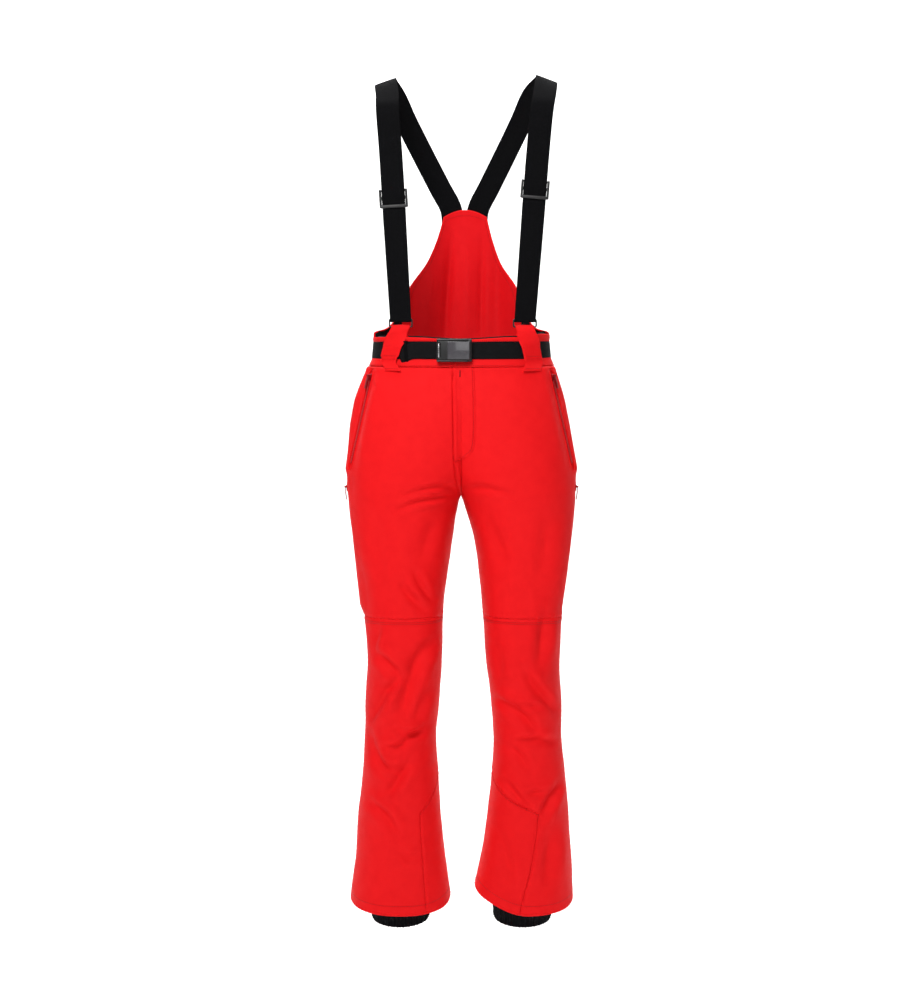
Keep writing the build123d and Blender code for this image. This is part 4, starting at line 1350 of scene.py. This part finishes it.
# the flap lies over the left front and its free edge stands a little proud
rows, columns = 90, 48
heights = np.linspace(-40, -203, rows)
right_edge = np.interp(heights, flap_side[::-1, 1], flap_side[::-1, 0])
left_edge = np.interp(heights, (-203, -110, -40), (-11.5, -13, -15))
flap = np.zeros((rows, columns, 3))
for row in range(rows):
    xs = np.linspace(left_edge[row], max(right_edge[row], left_edge[row] + 1), columns)
    spots, normals = on_front([(x, heights[row]) for x in xs])
    lift = 2.0 + 0.7 * bell((xs - xs[0]) / 3) - 1.2 * bell((xs - xs[-1]) / 2.0)
    lift -= 0.7 * bell(xs - right_edge[row] + STITCH_IN)
    flap[row] = spots + normals * lift[:, None]
piece = sheet_object("fly_flap_cloth", flap, red_cloth, SHELL_CLOTH)
finish_piece(piece, ("fly_flap",), held="hung")

# bar tack at the flap's top
bar_points = on_front([(-2.7, z) for z in np.linspace(-44, -56, 6)], 2.4)[0]
tack = ribbon("fly_bar_tack", bar_points, (1, 0, 0), 2.2, 0.7, thread, columns=8)
finish_piece(tack, ())


TOOTH_PITCH = 1.6


def zip_pieces(kind, suffix=""):
    """Tape, coil, slider and pull of one zip, on its CAD line."""
    matrix, length = zip_matrix(kind, suffix), ZIP_LENGTH[kind]
    tape = rounded_box((-5.8, -7, -PIN_Z - 1.7), (5.8, length - 4, -PIN_Z - 0.9), 0.35)
    # vent zips take the dark tape and coil: painted shade along the recessed vent strip
    tape_look, coil_look = (vent_tape_painted_shade, vent_coil_painted_shade) if kind == "vent" else (tape_cloth, coil)
    tape_piece = joined(f"{kind}_zip{suffix}_tape", [tape], tape_look, matrix)
    finish_piece(tape_piece, (f"{kind}_zip{suffix}",))
    teeth = []
    for index in range(int(length / TOOTH_PITCH)):
        y = -4 + index * TOOTH_PITCH
        s = 1 if index % 2 else -1
        low, high = sorted((s * 2.2, -s * 0.5))
        teeth.append(rounded_box((low, y, -PIN_Z - 0.9), (high, y + 1.1, -PIN_Z + 1.0), 0.3, 1))
    finish_piece(joined(f"{kind}_zip{suffix}_coil", teeth, coil_look, matrix), ())
    body = [
        rounded_box((-4.4, -3.4, -PIN_Z - 0.4), (4.4, 8.4, -PIN_Z + 3.0), 1.2),
        rounded_box((-4.2, -1.8, -PIN_Z + 2.6), (-2.95, 1.8, 1.5), 0.5, 2),
        rounded_box((2.95, -1.8, -PIN_Z + 2.6), (4.2, 1.8, 1.5), 0.5, 2),
        cylinder((-4.1, 0, 0), (4.1, 0, 0), 0.8, 12),
    ]
    slider = joined(f"{kind}_slider{suffix}_body", body, zip_metal, matrix)
    finish_piece(slider, (f"{kind}_slider{suffix}",), body=f"{kind}_slider_body{suffix}")
    tab = [
        rounded_box((-2.4, -1.6, -0.7), (2.4, 6, 0.7), 0.5, 2),
        rounded_box((-3.9, 4.5, -0.8), (3.9, 23.6, 0.8), 0.6),
        rounded_box((-2.6, 8, 0.5), (2.6, 21, 1.2), 0.4, 2),
    ]
    pull = joined(f"{kind}_pull{suffix}_tab", tab, zip_metal, matrix)
    finish_piece(pull, (f"{kind}_pull{suffix}",), body=f"{kind}_pull_body{suffix}")


zip_pieces("fly")
for name, _ in SIDES:
    zip_pieces("pocket", f"_{name}")
    zip_pieces("vent", f"_{name}")


def edge_piping(name, matrix, length, side_x):
    """A thin raised edge on one side of a zip's channel."""
    t = np.linspace(-12, length + 8, 90)
    local = np.stack([np.full_like(t, side_x), t, np.full_like(t, -PIN_Z + 0.3)], axis=-1)
    bend = np.clip((np.abs(t - length / 2 + 2) - length / 2 - 4) / 6, 0, 1)
    local[:, 0] *= 1 - 0.35 * bend
    local[:, 2] -= 1.5 * bend
    edge = tube(name, placed(local, matrix), 1.25, red_cloth, facing=matrix[:3, 2])
    finish_piece(edge, ())


for index, (matrix, length) in enumerate(ZIPS):
    edge_piping(f"zip_welt_{index}_back", matrix, length, -8.2)
    edge_piping(f"zip_welt_{index}_front", matrix, length, 8.2)


def inner_patch(node, side, shares, heights, inset, material):
    """A patch of lining that follows the leg form inside the shell."""
    share, z = np.meshgrid(np.linspace(*shares, 30), np.linspace(*heights, 40))
    points = leg_surface(side, share, z, False)
    bow = 1.2 * soft_noise(points, 30, 5.0)
    points = points - grid_normals(points) * (inset + bow[..., None])
    patch = sheet_object(f"{node}_cloth", points, material, 0.9)
    finish_piece(patch, (node,), held="hung")


for name, side in SIDES:
    inner_patch(f"pocket_bag_{name}", side, (0.42, 0.78), (-60, -222), 8.0, pocket_cloth)
    inner_patch(f"vent_mesh_{name}", side, (0.02, 0.2), (-240, -470), 15.0, mesh_cloth)

# fly shield behind the zip
matrix = zip_matrix("fly", "")
u, t = np.meshgrid(np.linspace(-34, 34, 24), np.linspace(-12, 138, 40))
waves = 0.8 * np.sin(u / 9) * np.sin(t / 31)
local = np.stack([u, t, -PIN_Z - 3.6 + waves], axis=-1)
shield = sheet_object("fly_shield_cloth", placed(local, matrix), black_lining, 0.9)
finish_piece(shield, ("fly_shield",), held="hung")

for node in ("waist_snap_cap", "waist_snap_stud"):
    for slot in bpy.data.objects[node].material_slots:
        slot.material = steel


# ---- Gaiters ------------------------------------------------------------------------------
def gaiter_grid(side, inset):
    """A sleeve from inside the shell down to the elastic, with fine pleats."""
    rows, columns = 110, 220
    t = np.linspace(0, 1, rows)[:, None]
    turn = np.linspace(0, 2 * np.pi, columns + 1)[None, :]
    fall = np.interp(t, (0, 0.78, 0.94, 1), (0, 0.78, 0.97, 1))
    half_width = np.interp(t, (0, 0.8, 0.93, 1), (69, 58, 53.0, 53.6)) - inset
    half_depth = np.interp(t, (0, 0.8, 0.93, 1), (76, 58, 51.5, 52)) - inset
    centre_x = np.interp(t, (0, 1), (117, 112))
    centre_y = np.interp(t, (0, 1), (32, 40))
    pleats = 1.1 * np.sin(58 * turn) + 0.6 * np.sin(33 * turn + 1.3)
    draw = np.interp(t, (0, 0.45, 0.85, 1), (0.0, 0.3, 1.0, 0.9))
    x = centre_x + (half_width + pleats * draw) * np.cos(turn)
    y = centre_y + (half_depth + pleats * draw) * np.sin(turn)
    z = -850 - 184 * fall + (y - 40) * HEM_SLOPE * t
    return np.stack([side * x, y, z], axis=-1)


for name, side in SIDES:
    sleeve = sheet_object(f"gaiter_{name}_cloth", gaiter_grid(side, 0.4), gaiter_cloth, 0.8)
    finish_piece(sleeve, (f"gaiter_{name}",), held="gathered")
    path = gaiter_grid(side, 2.4)[-5, :-1]
    band = ribbon(
        f"gaiter_elastic_{name}_band", path, (0, HEM_SLOPE, 1), 15, 1.6, elastic, closed=True, columns=10,
    )
    finish_piece(band, (f"gaiter_elastic_{name}",))

stitches("topstitching", stitch_lines)


# ---- Floor, lights and camera -------------------------------------------------------------
def backdrop():
    """A pale floor that curves up into a wall behind the object."""
    floor_z, bend_y, radius = -1.25, 1.6, 1.4
    bend = np.linspace(0.1, math.pi / 2, 14)
    profile = [(-6, floor_z), (bend_y, floor_z)]
    profile += [(bend_y + radius * math.sin(a), floor_z + radius - radius * math.cos(a)) for a in bend]
    profile.append((bend_y + radius, 5.0))
    points = np.array([[(x, y, z) for x in (-7, 7)] for y, z in profile]) / MM
    material = new_material("pale_floor", (0.92, 0.92, 0.92), 0.9, specular=0.0)
    make_object("floor", points.reshape(-1, 3), grid_faces(len(profile), 2), material)


def area_light(name, place, target, size, power):
    data = bpy.data.lights.new(name, "AREA")
    data.shape = "RECTANGLE"
    data.size, data.size_y = size
    data.energy = power
    light = bpy.data.objects.new(name, data)
    light.location = place
    light.rotation_euler = (Vector(target) - Vector(place)).to_track_quat("-Z", "Y").to_euler()
    bpy.context.scene.collection.objects.link(light)


backdrop()
area_light("key", (-0.5, -1.9, 1.5), (0, 0, -0.2), (0.8, 0.8), 42)
area_light("front", (0.4, -3.4, 0.2), (0, 0, -0.35), (1.2, 1.2), 9)
area_light("low", (0.0, -3.0, -0.9), (0, 0, -0.75), (1.6, 0.6), 1)
area_light("hips", (-0.4, -1.3, 0.5), (0, 0, -0.35), (0.5, 0.5), 4.5)
area_light("wall", (0.0, 1.3, 3.4), (0, 3.0, 0.4), (4.0, 1.0), 210)
area_light("floor", (0.0, 0.4, 3.6), (0, 1.4, -1.25), (4.0, 2.0), 110)

world = bpy.data.worlds.new("studio")
world.use_nodes = True
background = world.node_tree.nodes["Background"]
background.inputs["Color"].default_value = (1, 1, 1, 1)
background.inputs["Strength"].default_value = 0.13
scene = bpy.context.scene
scene.world = world
scene.view_settings.view_transform = "Standard"

# The frame's height covers VIEW_HEIGHT at the object's middle, seen from DISTANCE.
DISTANCE, VIEW_HEIGHT, EYE = 2.8, 1.82, -0.271
camera_data = bpy.data.cameras.new("camera")
camera_data.sensor_width = 36
camera_data.lens = 36 * DISTANCE / VIEW_HEIGHT
camera = bpy.data.objects.new("camera", camera_data)
camera.location = (0.001, -DISTANCE, EYE)
camera.rotation_euler = (math.pi / 2, 0, 0)
scene.collection.objects.link(camera)
scene.camera = camera

low, high = CAD_BOX
